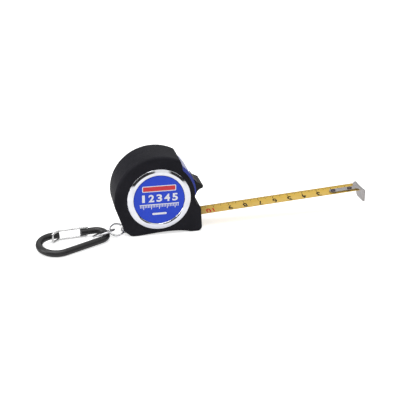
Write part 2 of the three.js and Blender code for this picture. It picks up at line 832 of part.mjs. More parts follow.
// ---------------------------------------------------------------------------------------------------
// Lanyard and carabiner

const pinBack = () => 0.6 - caseHalf;
const pinFront = () => recessY + recessHalf + 1.6;
const lanyardPin = () => rod(pinRadius, pinBack(), pinFront(), pinX, pinZ, 16);
const pinHole = () => rod(pinRadius + fit, pinBack() - fit, pinFront() + fit, pinX, pinZ, 16);

// The link holds the pin and the jump ring side by side.
const linkRadius = (linkWire + 2 * pinRadius + jumpWire + 3 * run) / 2;
const linkX = pinX - (linkRadius - linkWire / 2 - pinRadius - run);
const jumpX = linkX - linkRadius + linkWire / 2 + run + jumpWire / 2 - jumpRadius;

// The key ring's end lies inside the far end of the jump ring.
const keyRingEnd = at(jumpX - jumpRadius + keyRingReach, recessY + keyRingSide);
const keyRingAcross = at(Math.cos(deg(keyRingTurn)), Math.sin(deg(keyRingTurn)));
const keyRingPlace = keyRingEnd.clone().addScaledVector(keyRingAcross, -keyRingRadius);
const keyRingZ = keyRingRadius * Math.sin(deg(keyRingLean)) + keyRingWire / 2 + 0.08;

// The carabiner's small end goes through the key ring, and its length runs back from there.
const carabinerAcross = at(-Math.cos(deg(carabinerTurn)), -Math.sin(deg(carabinerTurn)));
const carabinerPlace = keyRingEnd.clone()
  .add(at(-carabinerBack, -carabinerSide))
  .addScaledVector(carabinerAcross, smallEnd);

const tangent = Math.asin((largeEnd - smallEnd) / endSpacing);
const tangentDegrees = degrees(tangent);
const sideAt = (x) => -(smallEnd / Math.cos(tangent) + x * Math.tan(tangent));
const noseX = endSpacing - noseBack;
const gateBendX = noseX + gateBendPast;
const gateEndX = endSpacing - gateEndBack;
const gateHalf = rodRadius + gateGap + gateWire / 2;
const gateEndY = -largeEnd + rodRadius + gateWire / 2 + 0.2;
const gateBendY = sideAt(gateBendX) + 0.1;
const carabinerLean = Math.asin((gateHalf + gateWire / 2 - rodRadius + 0.1) / (largeEnd + smallEnd));
const carabinerZ = rodRadius + 0.02 + largeEnd * Math.sin(carabinerLean);

function carabinerBody() {
  const round = (x, radius, from, to) => arc(x, 0, radius, from, to, 15);
  const turn = 90 + tangentDegrees;
  const path = [
    at(noseX, sideAt(noseX)),
    ...round(endSpacing, largeEnd, -turn, turn),
    at(endSpacing * 0.62, -sideAt(endSpacing * 0.62)),
    at(endSpacing * 0.32, -sideAt(endSpacing * 0.32)),
    ...round(0, smallEnd, turn, 360 - turn),
    at(pivotX, sideAt(pivotX)),
    at(stubX, sideAt(stubX)),
  ].map((point) => new THREE.Vector3(point.x, point.y, 0));
  const body = tube(new THREE.CatmullRomCurve3(path), rodRadius, 12, 52);
  const hole = new THREE.CylinderGeometry(gateWire / 2 + run, gateWire / 2 + run, 3 * rodRadius, 16);
  return cut(body, solidOf(hole.rotateX(Math.PI / 2).translate(pivotX, sideAt(pivotX), 0)));
}

// Straight runs joined by round corners.
function bentWire(corners, radius) {
  const path = new THREE.CurvePath();
  let from = corners[0];
  for (let i = 1; i + 1 < corners.length; i += 1) {
    const toward = (goal) => corners[i].clone().add(goal.clone().sub(corners[i]).setLength(radius));
    const [enter, exit] = [toward(corners[i - 1]), toward(corners[i + 1])];
    path.add(new THREE.LineCurve3(from, enter));
    path.add(new THREE.QuadraticBezierCurve3(enter, corners[i], exit));
    from = exit;
  }
  path.add(new THREE.LineCurve3(from, corners[corners.length - 1]));
  return path;
}

function carabinerGate() {
  const pivotY = sideAt(pivotX);
  const place = (x, y, z) => new THREE.Vector3(x, y, z);
  const wire = bentWire([
    place(pivotX, pivotY, rodRadius * 0.4),
    place(pivotX, pivotY, gateHalf),
    place(gateBendX, gateBendY, gateHalf),
    place(gateEndX, gateEndY, gateHalf),
    place(gateEndX, gateEndY, -gateHalf),
    place(gateBendX, gateBendY, -gateHalf),
    place(pivotX, pivotY, -gateHalf),
    place(pivotX, pivotY, -rodRadius * 0.4),
  ], 1.1);
  return tube(wire, gateWire / 2, 8, 48);
}

// ---------------------------------------------------------------------------------------------------
// Assembly

const finishes = {
  rubber: { color: 0x232327, roughness: 0.62, metalness: 0 },
  blue: { color: 0x1f49c8, roughness: 0.35, metalness: 0 },
  label: { color: 0x2f4fd0, roughness: 0.4, metalness: 0 },
  black: { color: 0x18181b, roughness: 0.5, metalness: 0 },
  chrome: { color: 0xd9dce0, roughness: 0.12, metalness: 1 },
  steel: { color: 0x9a9a9c, roughness: 0.4, metalness: 1 },
  spring: { color: 0x5c6470, roughness: 0.35, metalness: 1 },
  yellow: { color: 0xe3b64c, roughness: 0.45, metalness: 0.1 },
  white: { color: 0xd8d8d2, roughness: 0.5, metalness: 0 },
  anodised: { color: 0x17171a, roughness: 0.35, metalness: 0.6 },
};

const product = new THREE.Group();
const bladeLine = new THREE.Group();
bladeLine.position.set(leave.x, 0, leave.z);
bladeLine.rotation.y = -rise;
const clip = new THREE.Group();
clip.position.set(carabinerPlace.x, carabinerPlace.y, carabinerZ);
clip.rotation.set(-carabinerLean, 0, Math.PI + deg(carabinerTurn), 'ZYX');
product.add(bladeLine, clip);

function piece(name, solid, finish, parent = product) {
  const mesh = new THREE.Mesh(geometryOf(solid), new THREE.MeshStandardMaterial(finishes[finish]));
  mesh.name = name;
  parent.add(mesh);
  return mesh;
}

piece('front_cover', frontCover(), 'rubber');
piece('rear_cover', rearCover(), 'rubber');
piece('front_shell', frontShell(), 'blue');
piece('rear_shell', rearShell(), 'blue');
piece('bezel_ring', bezelRing(), 'chrome');
piece('label_disc', labelDisc(), 'label');
screwPlaces.forEach((place, i) => piece(`case_screw_${i + 1}`, caseScrew(place), 'steel'));
piece('spring_arbor', springArbor(), 'steel');
piece('spool_drum', spoolDrum(), 'white');
piece('spool_cover', spoolCover(), 'white');
piece('front_washer', spoolWasher(-washerOut, -washerIn), 'steel');
piece('rear_washer', spoolWasher(washerIn, washerOut), 'steel');
piece('drive_spring', driveSpring(), 'spring');
piece('blade_coil', bladeCoil(), 'yellow');
piece('blade', blade(), 'yellow', bladeLine);
rivetPlaces.forEach((x, i) => piece(`hook_rivet_${i + 1}`, rivet(x), 'steel', bladeLine));
piece('end_hook', endHook(), 'steel', bladeLine);
piece('mouth_guide', mouthGuide(), 'steel', bladeLine);
piece('lock_button', lockButton(), 'black');
piece('lock_arm', lockArm(), 'spring');
piece('brake_pad', brakePad(), 'rubber');
piece('lanyard_pin', lanyardPin(), 'steel');

const link = piece('chain_link', ring(linkRadius, linkWire, 8, 20), 'chrome');
link.position.set(linkX, recessY, pinZ);
link.rotation.x = Math.PI / 2;

const jump = piece('jump_ring', ring(jumpRadius, jumpWire), 'chrome');
jump.position.set(jumpX, recessY, pinZ);
jump.rotation.x = deg(jumpLean);

const keyRing = piece('carabiner_ring', ring(keyRingRadius, keyRingWire, 8, 32), 'chrome');
keyRing.position.set(keyRingPlace.x, keyRingPlace.y, keyRingZ);
keyRing.rotation.set(-deg(keyRingLean), 0, deg(keyRingTurn), 'ZYX');

piece('carabiner_body', carabinerBody(), 'anodised', clip);
piece('carabiner_gate', carabinerGate(), 'chrome', clip);

product.position.x = -footX;
const tapeMeasure = new THREE.Group();
tapeMeasure.name = 'tape_measure';
tapeMeasure.add(product);
tapeMeasure.updateMatrixWorld(true);

export default tapeMeasure;
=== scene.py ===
# %% [markdown]
# # A pocket tape measure
#
# The object is a two metre tape in a rubber-covered case, with a blue lock button at the front, a chrome-rimmed
# label, a steel hook on a yellow blade, and a small black carabiner on three rings at the heel.
#
# The solid model is loaded first and stays as it is. Each piece that shows is then made again with finer curves,
# rounded edges and a finish of its own, and takes the place of its plain solid. All drawing is done in
# millimetres, in the solid model's frame, and a finished piece is scaled to metres in its mesh.

# %% Load the frame
import json
import math

import bmesh
import bpy
from bmesh.types import BMEdge, BMVert
from mathutils import Matrix, Vector
from mathutils.geometry import interpolate_bezier

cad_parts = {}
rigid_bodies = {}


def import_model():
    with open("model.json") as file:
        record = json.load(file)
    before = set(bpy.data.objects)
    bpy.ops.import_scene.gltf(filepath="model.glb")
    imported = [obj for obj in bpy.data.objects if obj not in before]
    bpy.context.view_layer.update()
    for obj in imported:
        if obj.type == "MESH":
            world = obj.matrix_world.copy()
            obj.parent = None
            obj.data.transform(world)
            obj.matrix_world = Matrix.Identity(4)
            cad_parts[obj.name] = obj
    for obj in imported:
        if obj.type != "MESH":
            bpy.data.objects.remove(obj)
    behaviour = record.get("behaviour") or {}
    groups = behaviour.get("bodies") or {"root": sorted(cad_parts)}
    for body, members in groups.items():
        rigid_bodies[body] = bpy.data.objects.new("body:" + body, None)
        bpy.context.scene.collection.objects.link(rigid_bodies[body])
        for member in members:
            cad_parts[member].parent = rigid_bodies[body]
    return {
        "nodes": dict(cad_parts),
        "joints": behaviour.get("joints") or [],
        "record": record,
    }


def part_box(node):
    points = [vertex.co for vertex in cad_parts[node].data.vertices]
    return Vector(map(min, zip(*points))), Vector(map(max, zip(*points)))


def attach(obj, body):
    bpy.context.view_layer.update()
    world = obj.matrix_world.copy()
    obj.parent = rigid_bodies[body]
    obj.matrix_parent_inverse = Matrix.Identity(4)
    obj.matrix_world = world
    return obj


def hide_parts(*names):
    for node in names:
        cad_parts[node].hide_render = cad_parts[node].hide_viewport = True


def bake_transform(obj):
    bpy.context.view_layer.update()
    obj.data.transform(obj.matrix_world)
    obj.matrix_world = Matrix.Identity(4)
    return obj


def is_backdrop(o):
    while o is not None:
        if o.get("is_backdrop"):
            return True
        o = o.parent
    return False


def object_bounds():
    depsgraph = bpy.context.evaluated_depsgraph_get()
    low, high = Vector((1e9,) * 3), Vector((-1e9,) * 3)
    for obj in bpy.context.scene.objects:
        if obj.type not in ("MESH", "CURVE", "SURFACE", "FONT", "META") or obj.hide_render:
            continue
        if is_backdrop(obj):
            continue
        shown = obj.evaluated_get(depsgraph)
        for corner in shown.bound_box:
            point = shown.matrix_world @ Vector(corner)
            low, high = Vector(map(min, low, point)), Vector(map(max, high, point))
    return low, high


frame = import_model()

cad_box = [list(corner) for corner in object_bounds()]
MM = 0.001
print("solids:", len(frame["nodes"]), "in a box", [round((b - a) / MM, 1) for a, b in zip(*cad_box)], "mm")

# %% [markdown]
# ## Places that come from the frame
#
# A tape measure is built round its spool, so most of its curves are arcs about one axis. That axis passes
# through the middle of the round label. The blade leaves the spool on a tangent, along the axis of its sliding
# joint, and the hook sits a fixed length beyond the mouth.

# %% Measure the frame


def corners(node):
    """Lowest and highest corner of a solid, in millimetres."""
    return [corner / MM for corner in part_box(node)]


def middle(node):
    low, high = corners(node)
    return (low + high) / 2


def joint(name):
    return next(j for j in frame["joints"] if j["name"] == name)


AXIS = middle("label_disc")
SPOOL = (AXIS.x, AXIS.z)
COVER_LOW, COVER_HIGH = corners("front_cover")
CASE_RADIUS = COVER_HIGH.z - AXIS.z
CASE_HALF = -COVER_LOW.y
NOSE_X = COVER_HIGH.x
PIN = middle("lanyard_pin")
PIN_PLACE = (PIN.x, PIN.z)

COIL_RADIUS = 18.2
BLADE_SHOWN = 111.0
blade_axis = joint("blade_slide")["axis"]
RISE = math.atan2(blade_axis[2], blade_axis[0])
LEAVE = Vector((AXIS.x + COIL_RADIUS * math.sin(RISE), 0, AXIS.z - COIL_RADIUS * math.cos(RISE)))
MOUTH_ALONG = (NOSE_X - LEAVE.x) / math.cos(RISE)
HOOK_ALONG = MOUTH_ALONG + BLADE_SHOWN
BLADE_LINE = Matrix.Translation(LEAVE) @ Matrix.Rotation(-RISE, 4, "Y")
print("spool axis", AXIS[:], "hook", round(HOOK_ALONG, 2), "mm along the blade")
print("the blade rises", round(math.degrees(RISE), 1), "degrees")

# %% [markdown]
# ## The camera
#
# A shelf picture of a tape is taken from a little above and to the left, with a long lens, so that the label
# stays nearly round. The camera looks along one direction, and a small roll levels the blade's far end.

# %% Set up the camera
CAMERA_PLACE = Vector((-101.58, -476.0, 226.02))
CAMERA_TURN = math.radians(12.766)
CAMERA_TILT = math.radians(23.28)
CAMERA_ROLL = math.radians(0.45)
LENS = 75.05



def add_object(name, data):
    made = bpy.data.objects.new(name, data)
    bpy.context.scene.collection.objects.link(made)
    return made


look = Vector((
    math.sin(CAMERA_TURN) * math.cos(CAMERA_TILT),
    math.cos(CAMERA_TURN) * math.cos(CAMERA_TILT),
    -math.sin(CAMERA_TILT),
))
camera = add_object("camera", bpy.data.cameras.new("camera"))
camera.data.lens = LENS
camera.data.clip_start = 0.01
camera.location = CAMERA_PLACE * MM
level = look.to_track_quat("-Z", "Y").to_matrix()
camera.rotation_euler = (level @ Matrix.Rotation(CAMERA_ROLL, 3, "Z")).to_euler()
bpy.context.scene.camera = camera
print("camera looks along", [round(x, 3) for x in look])

# %% [markdown]
# ## The studio
#
# White paper below and a big soft light all round give flat, even light, at which a colour looks as it was
# mixed. Chrome needs something dark to mirror, or it reads as grey plastic, so mirror rays see a dark gap just
# above the horizon, like the open side of a real light tent, with one bright panel standing in it.

# %% Light the scene


def add_node(tree, kind, inputs=None, **settings):
    """One shader node. An input is a value or the socket that feeds it."""
    made = tree.nodes.new("ShaderNode" + kind)
    for name, value in settings.items():
        setattr(made, name, value)
    for name, value in (inputs or {}).items():
        if isinstance(value, bpy.types.NodeSocket):
            tree.links.new(value, made.inputs[name])
        else:
            made.inputs[name].default_value = value
    return made


def maths(tree, operation, first, second=0.0, third=0.0):
    """The result of a maths node."""
    return add_node(tree, "Math", {0: first, 1: second, 2: third}, operation=operation).outputs[0]


def mixed(tree, share, first, second):
    """The first colour where the share is 0, and the second where it is 1."""
    inputs = {0: share, "A": first, "B": second}
    return add_node(tree, "Mix", inputs, data_type="RGBA").outputs["Result"]


def grey(level):
    return (level, level, level, 1)


def ramp(tree, value, stops):
    """A grey ramp through (place, level) stops."""
    made = add_node(tree, "ValToRGB", {0: value})
    while len(made.color_ramp.elements) < len(stops):
        made.color_ramp.elements.new(0.5)
    for element, (place, level) in zip(made.color_ramp.elements, stops):
        element.position = place
        element.color = grey(level)
    return made.outputs["Color"]


DAYLIGHT = 0.52
TENT_LIGHT = 0.92
TENT_DARK = 0.03
HORIZON_GAP = [(0.48, 0), (0.50, 1), (0.655, 1), (0.69, 0)]
BRIGHT_PANEL = [(0.52, 1), (0.54, 0), (0.68, 0), (0.72, 1)]
LIT_POINT = Vector((0, 0, 0.02))

world = bpy.data.worlds.new("studio")
bpy.context.scene.world = world
world.use_nodes = True
tree = world.node_tree
direction = add_node(tree, "TexCoord").outputs["Generated"]
facing = add_node(tree, "SeparateXYZ", {0: direction}).outputs
gap = ramp(tree, maths(tree, "MULTIPLY_ADD", facing["Z"], 0.5, 0.5), HORIZON_GAP)
panel = ramp(tree, maths(tree, "MULTIPLY_ADD", facing["X"], 0.5, 0.5), BRIGHT_PANEL)
tent = mixed(tree, mixed(tree, gap, grey(0), panel), grey(TENT_LIGHT), grey(TENT_DARK))
rays = add_node(tree, "LightPath").outputs
mirror = maths(tree, "MAXIMUM", rays["Is Glossy Ray"], rays["Is Transmission Ray"])
seen = mixed(tree, mirror, grey(DAYLIGHT), tent)
shown = mixed(tree, rays["Is Camera Ray"], seen, grey(1))
tree.links.new(shown, tree.nodes["Background"].inputs["Color"])


def soft_box(name, place, size, watts):
    """A square area lamp that faces the case."""
    lamp = bpy.data.lights.new(name, "AREA")
    lamp.size = size
    lamp.energy = watts
    made = add_object(name, lamp)
    made.location = place
    made.rotation_euler = (LIT_POINT - made.location).to_track_quat("-Z", "Y").to_euler()


soft_box("overhead_box", (-0.15, -0.1, 0.8), 0.7, 3.9)
soft_box("left_box", (-0.8, -0.15, 0.35), 0.5, 2.3)

bpy.context.scene.view_settings.view_transform = "Standard"

# %% [markdown]
# ## Drawing tools
#
# An outline is drawn with a pen: it joins its last vertex to a new one for a straight run, and spins it round a
# centre for an arc. A closed outline is filled and extruded into a slab, and slabs and round bars cut each other
# with Boolean modifiers, as milling cutters would. Smooth shading stays off edges sharper than an angle.

# %% Draw outlines
QUARTER = math.pi / 2


def shift(bm, by):
    bmesh.ops.translate(bm, vec=by, verts=bm.verts)


def turn(bm, angle, axis):
    bmesh.ops.rotate(bm, cent=(0, 0, 0), matrix=Matrix.Rotation(angle, 3, axis), verts=bm.verts)


def lay(bm, matrix):
    bmesh.ops.transform(bm, matrix=matrix, verts=bm.verts)


def merge(bm):
    """Joins vertices that lie on one another."""
    bmesh.ops.remove_doubles(bm, verts=bm.verts, dist=1e-4)


def face_outwards(bm):
    bmesh.ops.recalc_face_normals(bm, faces=bm.faces)


def of_kind(kind, geometry):
    """The vertices, or the edges, of an operator's result."""
    return [part for part in geometry if isinstance(part, kind)]


def on_circle(centre, radius, degrees):
    angle = math.radians(degrees)
    return centre[0] + radius * math.cos(angle), centre[1] + radius * math.sin(angle)


def about_spool(radius, degrees):
    return on_circle(SPOOL, radius, degrees)


class Pen:
    """Draws an outline in the plane of the label, as one run of edges."""

    def __init__(self, x, z):
        self.bm = bmesh.new()
        self.first = self.last = self.bm.verts.new((x, 0, z))

    def line(self, x, z):
        new = self.bm.verts.new((x, 0, z))
        self.bm.edges.new((self.last, new))
        self.last = new

    def arc(self, centre, sweep, step=3.0):
        """Spins the last vertex round a centre, anticlockwise as seen from the label side."""
        made = bmesh.ops.spin(
            self.bm, geom=[self.last], cent=(centre[0], 0, centre[1]), axis=(0, -1, 0),
            angle=math.radians(sweep), steps=max(2, math.ceil(abs(sweep) / step)),
        )
        self.last = of_kind(BMVert, made["geom_last"])[0]

    def curve(self, handles, end, steps):
        """A Bezier curve with one or two handles."""
        first, second = (Vector((x, 0, z)) for x, z in (handles * 2)[:2])
        goal = Vector((end[0], 0, end[1]))
        if len(handles) == 1:
            first = self.last.co.lerp(first, 2 / 3)
            second = goal.lerp(second, 2 / 3)
        for point in interpolate_bezier(self.last.co, first, second, goal, steps + 1)[1:]:
            self.line(point.x, point.z)

    def close(self):
        """Joins the two ends, fills the outline with one face and gives the drawing."""
        if (self.first.co - self.last.co).length > 1e-4:
            self.bm.edges.new((self.last, self.first))
        merge(self.bm)
        bmesh.ops.contextual_create(self.bm, geom=self.bm.edges[:])
        return self.bm


def polygon(start, *points):
    pen = Pen(*start)
    for point in points:
        pen.line(*point)
    return pen.close()


def rectangle(x0, x1, z0, z1):
    return polygon((x0, z0), (x1, z0), (x1, z1), (x0, z1))


def extruded(bm):
    """Extrudes the faces in place, and gives the vertices of their far side."""
    return of_kind(BMVert, bmesh.ops.extrude_face_region(bm, geom=bm.faces[:])["geom"])


def pull_out(bm, y0, y1):
    """Extrudes the flat face along Y from y0 to y1."""
    shift(bm, (0, y0, 0))
    bmesh.ops.translate(bm, vec=(0, y1 - y0, 0), verts=extruded(bm))
    face_outwards(bm)


def shrink(bm, distance):
    """Moves a filled outline inwards by an even distance."""
    bmesh.ops.inset_region(bm, faces=bm.faces[:], thickness=distance, use_boundary=True, use_even_offset=True)
    inner = max(bm.faces, key=lambda face: len(face.verts))
    bmesh.ops.delete(bm, geom=[face for face in bm.faces if face != inner], context="FACES")


def round_rims(bm, radius, segments=6):
    """Rounds the edges of both flat ends of a slab."""
    ends = sorted(bm.faces, key=lambda face: len(face.verts))[-2:]
    bmesh.ops.bevel(
        bm, geom=[edge for face in ends for edge in face.edges], offset=radius, offset_type="OFFSET",
        segments=segments, profile=0.5, affect="EDGES", material=-1,
    )


def round_bar(centre, radius, y0, y1, sides=96):
    """A bar along Y."""
    bm = bmesh.new()
    bmesh.ops.create_circle(bm, cap_ends=True, radius=radius, segments=sides)
    turn(bm, QUARTER, "X")
    shift(bm, (centre[0], 0, centre[1]))
    pull_out(bm, y0, y1)
    return bm


def wedge(inner, outer, low, high, y0, y1):
    """A slab between two radii and two angles about the spool axis."""
    pen = Pen(*about_spool(outer, low))
    pen.arc(SPOOL, high - low)
    pen.line(*about_spool(inner, high))
    pen.arc(SPOOL, low - high)
    bm = pen.close()
    pull_out(bm, y0, y1)
    return bm


def box_of(low, high):
    """A block between two corners."""
    bm = bmesh.new()
    bmesh.ops.create_cube(bm, size=1)
    bmesh.ops.scale(bm, vec=Vector(high) - Vector(low), verts=bm.verts)
    shift(bm, (Vector(high) + Vector(low)) / 2)
    return bm


# %% Cut, join and finish pieces


def as_object(bm, name):
    mesh = bpy.data.meshes.new(name)
    bm.to_mesh(mesh)
    bm.free()
    return add_object(name, mesh)


def drawing_of(holder, *spent):
    """The mesh that an object's modifiers or curve make, as a drawing. The object and spent tools are removed."""
    bpy.context.view_layer.update()
    evaluated = holder.evaluated_get(bpy.context.evaluated_depsgraph_get())
    bm = bmesh.new()
    bm.from_mesh(evaluated.to_mesh())
    evaluated.to_mesh_clear()
    for used in (holder, *spent):
        data = used.data
        bpy.data.objects.remove(used)
        bpy.data.batch_remove([data])
    merge(bm)
    return bm


def carve(body, operations):
    """Applies (operation, tool) pairs to a drawing with exact Booleans, and gives the new drawing."""
    piece = as_object(body, "workpiece")
    tools = [as_object(tool, "tool") for _, tool in operations]
    for (operation, _), tool in zip(operations, tools):
        modifier = piece.modifiers.new("cut", "BOOLEAN")
        modifier.operation = operation
        modifier.solver = "EXACT"
        modifier.object = tool
    carved = drawing_of(piece, *tools)
    bmesh.ops.dissolve_degenerate(carved, dist=1e-4, edges=carved.edges)
    return carved


def cut(body, *tools):
    return carve(body, [("DIFFERENCE", tool) for tool in tools])


def soften(piece, width, angle=40, segments=2):
    """A fine round on every edge sharper than an angle, and normals that keep flat faces flat."""
    bevel = piece.modifiers.new("soft_edges", "BEVEL")
    bevel.limit_method = "ANGLE"
    bevel.angle_limit = math.radians(angle)
    bevel.width = width * MM
    bevel.segments = segments
    weigh = piece.modifiers.new("flat_faces", "WEIGHTED_NORMAL")
    weigh.keep_sharp = True
    weigh.weight = 80


def finish_piece(bm, name, node, body, slot, *materials, sharp=32):
    """Scales a drawing to metres, shades it, and puts it on a body in the place of a solid."""
    bmesh.ops.scale(bm, vec=(MM,) * 3, verts=bm.verts)
    piece = as_object(bm, name)
    for material in materials:
        piece.data.materials.append(material)
    piece.data.shade_smooth()
    piece.data.set_sharp_from_angle(angle=math.radians(sharp))
    if body:
        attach(piece, body)
    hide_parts(node)
    print(name, "has", len(piece.data.polygons), "faces")
    return piece


print("drawing tools are ready")

# %% [markdown]
# ## Finishes
#
# Every finish starts from the Principled shader and object coordinates, so that grain and scratches have a real
# size and stay on the piece when it moves. Three helpers repeat: a cloud of noise between two values, fine bumps
# from noise, and a mask of rounded edges, where rubber and plastic are painted paler: partly rubbing wear, partly
# a painted sheen.

# %% Build the finish helpers


EDGE_TURN = (0.004, 0.05)


class Finish:
    """A material with its shader, node tree and object coordinates at hand."""

    def __init__(self, name, **sockets):
        self.material = bpy.data.materials.new(name)
        self.material.use_nodes = True
        self.tree = self.material.node_tree
        self.shader = self.tree.nodes["Principled BSDF"]
        self.place = add_node(self.tree, "TexCoord").outputs["Object"]
        for socket, value in sockets.items():
            self.set(socket.replace("_", " "), value)

    def set(self, socket, value):
        if isinstance(value, bpy.types.NodeSocket):
            self.tree.links.new(value, self.shader.inputs[socket])
        else:
            self.shader.inputs[socket].default_value = value

    def stretched(self, *scale, turn=(0, 0, 0)):
        """Object coordinates, turned and stretched, for brushed lines."""
        return add_node(self.tree, "Mapping", {0: self.place, "Rotation": turn, "Scale": scale}).outputs[0]

    def noise(self, grain, detail=2.0, place=None):
        """Noise whose clouds are about a grain across, in millimetres."""
        inputs = {"Vector": place or self.place, "Scale": 1 / (grain * MM), "Detail": detail}
        return add_node(self.tree, "TexNoise", inputs).outputs[0]

    def between(self, value, low, high, start=0.3, end=0.7):
        """A number from low to high as the value goes from start to end."""
        inputs = {0: value, 1: start, 2: end, 3: low, 4: high}
        return add_node(self.tree, "MapRange", inputs).outputs[0]

    def blend(self, share, first, second):
        return mixed(self.tree, share, first, second)

    def worn_edges(self, width):
        """1 on edges rounder than the width in millimetres, 0 on open faces."""
        soft = add_node(self.tree, "Bevel", {0: width * MM}, samples=4).outputs[0]
        inputs = {0: soft, 1: add_node(self.tree, "NewGeometry").outputs["Normal"]}
        same = add_node(self.tree, "VectorMath", inputs, operation="DOT_PRODUCT").outputs["Value"]
        return self.between(maths(self.tree, "SUBTRACT", 1.0, same), 0.0, 1.0, *EDGE_TURN)

    def mix(self, colour, roughness, height, depth, strength):
        """Sets colour, roughness and bumps, which rise by a depth in millimetres, and gives the material."""
        inputs = {"Height": height, "Distance": depth * MM, "Strength": strength}
        self.set("Base Color", colour)
        self.set("Roughness", roughness)
        self.set("Normal", add_node(self.tree, "Bump", inputs).outputs[0])
        return self.material


def ink(*channels):
    """A colour as a screen stores it, 0 to 255, in the linear values that the shader takes."""
    return *(((c / 255 + 0.055) / 1.055) ** 2.4 if c > 10 else c / 255 / 12.92 for c in channels), 1


print("mid grey is", round(ink(128, 128, 128)[0], 3))

# %% [markdown]
# ### Rubber
#
# The over-moulded cover is charcoal rubber with a fine matt spark-eroded grain. A hand polishes the rims, so the
# edge mask makes them a little smoother and paints them paler, which is partly rubbing wear and partly a painted
# sheen. Broad faint clouds keep the big faces from looking like paint.

# %% Mix the rubber


EDGE_WEAR_AND_SHEEN = 0.6
EDGE_POLISH = 0.12


def mix_rubber(name, base, pale_wear_and_sheen, grain):
    rubber = Finish(name, Specular_IOR_Level=0.14)
    clouds = rubber.noise(9.0, 3.0)
    speckle = rubber.noise(grain)
    edges = rubber.worn_edges(0.7)
    dusty = rubber.blend(rubber.between(clouds, 0.0, 0.5), base, pale_wear_and_sheen)
    # Rounded edges are painted paler: partly rubbing wear, partly a painted sheen.
    colour = rubber.blend(maths(rubber.tree, "MULTIPLY", edges, EDGE_WEAR_AND_SHEEN), dusty, pale_wear_and_sheen)
    polish = maths(rubber.tree, "MULTIPLY", edges, EDGE_POLISH)
    matt = maths(rubber.tree, "SUBTRACT", rubber.between(speckle, 0.56, 0.74), polish)
    return rubber.mix(colour, matt, speckle, 0.03, 0.6)


cover_rubber = mix_rubber("charcoal_rubber", ink(20, 20, 26), ink(36, 35, 41), 0.22)
pad_rubber = mix_rubber("brake_rubber", ink(34, 32, 32), ink(60, 58, 56), 0.35)
print("rubbers:", cover_rubber.name, pad_rubber.name)

# %% [markdown]
# ### Moulded plastics
#
# The shells are glossy blue ABS and the lock button is black acetal with a satin face. Both are moulded, so they
# carry faint sink clouds, a fine orange-peel bump, and hairline handling scratches that only change the gloss.
# The button's edges are painted pale: partly thumb wear, partly a painted sheen.

# %% Mix the plastics


def mix_plastic(name, base, deep, roughness, peel, pale_wear_and_sheen=None, index=1.49):
    plastic = Finish(name, IOR=index)
    clouds = plastic.noise(6.0)
    hairs = plastic.noise(0.5, 6.0, plastic.stretched(1, 0.08, 1, turn=(0.3, 0.5, 0.7)))
    colour = plastic.blend(clouds, base, deep)
    if pale_wear_and_sheen:
        # Rounded edges painted paler: partly wear, partly a painted sheen.
        colour = plastic.blend(plastic.worn_edges(0.35), colour, pale_wear_and_sheen)
    gloss = plastic.between(hairs, roughness * 0.8, roughness * 1.35, 0.35, 0.75)
    return plastic.mix(colour, gloss, plastic.noise(peel), 0.02, 0.5)


shell_blue = mix_plastic("shell_blue", ink(22, 50, 165), ink(16, 40, 140), 0.2, 0.6)
# The button's pale edge colour is partly thumb wear, partly a painted sheen on its lit top.
button_black = mix_plastic("button_black", ink(24, 25, 25), ink(18, 20, 19), 0.4, 0.3, ink(84, 76, 80), 1.3)
spool_white = mix_plastic("spool_nylon", ink(214, 212, 202), ink(200, 198, 188), 0.45, 0.8)
print("plastics:", shell_blue.name, button_black.name, spool_white.name)

# %% [markdown]
# ### Metals
#
# Chrome is almost a mirror, with a trace of polishing haze. Nickel-plated wire and the zinc-plated hook are
# softer: the hook is stamped sheet, so it shows drawn lines and small dull marks. Spring steel is blue-grey.

# %% Mix the metals


def mix_metal(name, base, dull, roughness, haze, grain, scratch=0.004, squeeze=(1, 1, 1)):
    metal = Finish(name, Metallic=1.0)
    clouds = metal.between(metal.noise(haze, 3.0), 0.0, 1.0)
    lines = metal.noise(grain, 4.0, metal.stretched(*squeeze))
    gloss = metal.between(lines, roughness * 0.75, roughness * 1.4)
    return metal.mix(metal.blend(clouds, base, dull), gloss, lines, scratch, 0.7)


chrome = mix_metal("bezel_chrome", ink(236, 237, 242), ink(222, 223, 230), 0.07, 5.0, 0.9, 0.001)
nickel = mix_metal("nickel_wire", ink(214, 214, 216), ink(190, 190, 192), 0.16, 2.0, 0.3, 0.002)
bright_wire = mix_metal("gate_wire", ink(226, 226, 226), ink(206, 206, 206), 0.2, 2.0, 0.3, 0.002)
zinc = mix_metal("hook_zinc", ink(178, 174, 174), ink(153, 150, 151), 0.27, 1.6, 0.25, 0.006, squeeze=(0.15, 1, 1))
# Rivet steel is mixed darker than the other steel: partly its own tone, partly painted shade round the rivets.
rivet_steel_and_painted_shade = mix_metal("rivet_steel_and_painted_shade", ink(96, 88, 92), ink(58, 52, 56), 0.34, 0.8, 0.2)
screw_steel = mix_metal("screw_steel", ink(120, 120, 124), ink(84, 84, 88), 0.3, 1.0, 0.2)
spring_steel = mix_metal("spring_steel", ink(112, 120, 134), ink(84, 90, 104), 0.28, 4.0, 0.3, squeeze=(1, 0.1, 1))
print("metals:", ", ".join(m.name for m in (chrome, nickel, bright_wire, zinc, rivet_steel_and_painted_shade, screw_steel)))

# %% [markdown]
# ### Painted and printed finishes
#
# The carabiner is aluminium rod under black satin paint, chipped in a few places. The blade's scale is printed on
# yellow lacquer: its strokes come from the distance to the hook, a stroke each millimetre on both edges, longer
# at each fifth and tenth. Because that distance is measured along the blade's own line, the strokes stay
# one millimetre apart in every pose.

# %% Mix the paints and print the scale


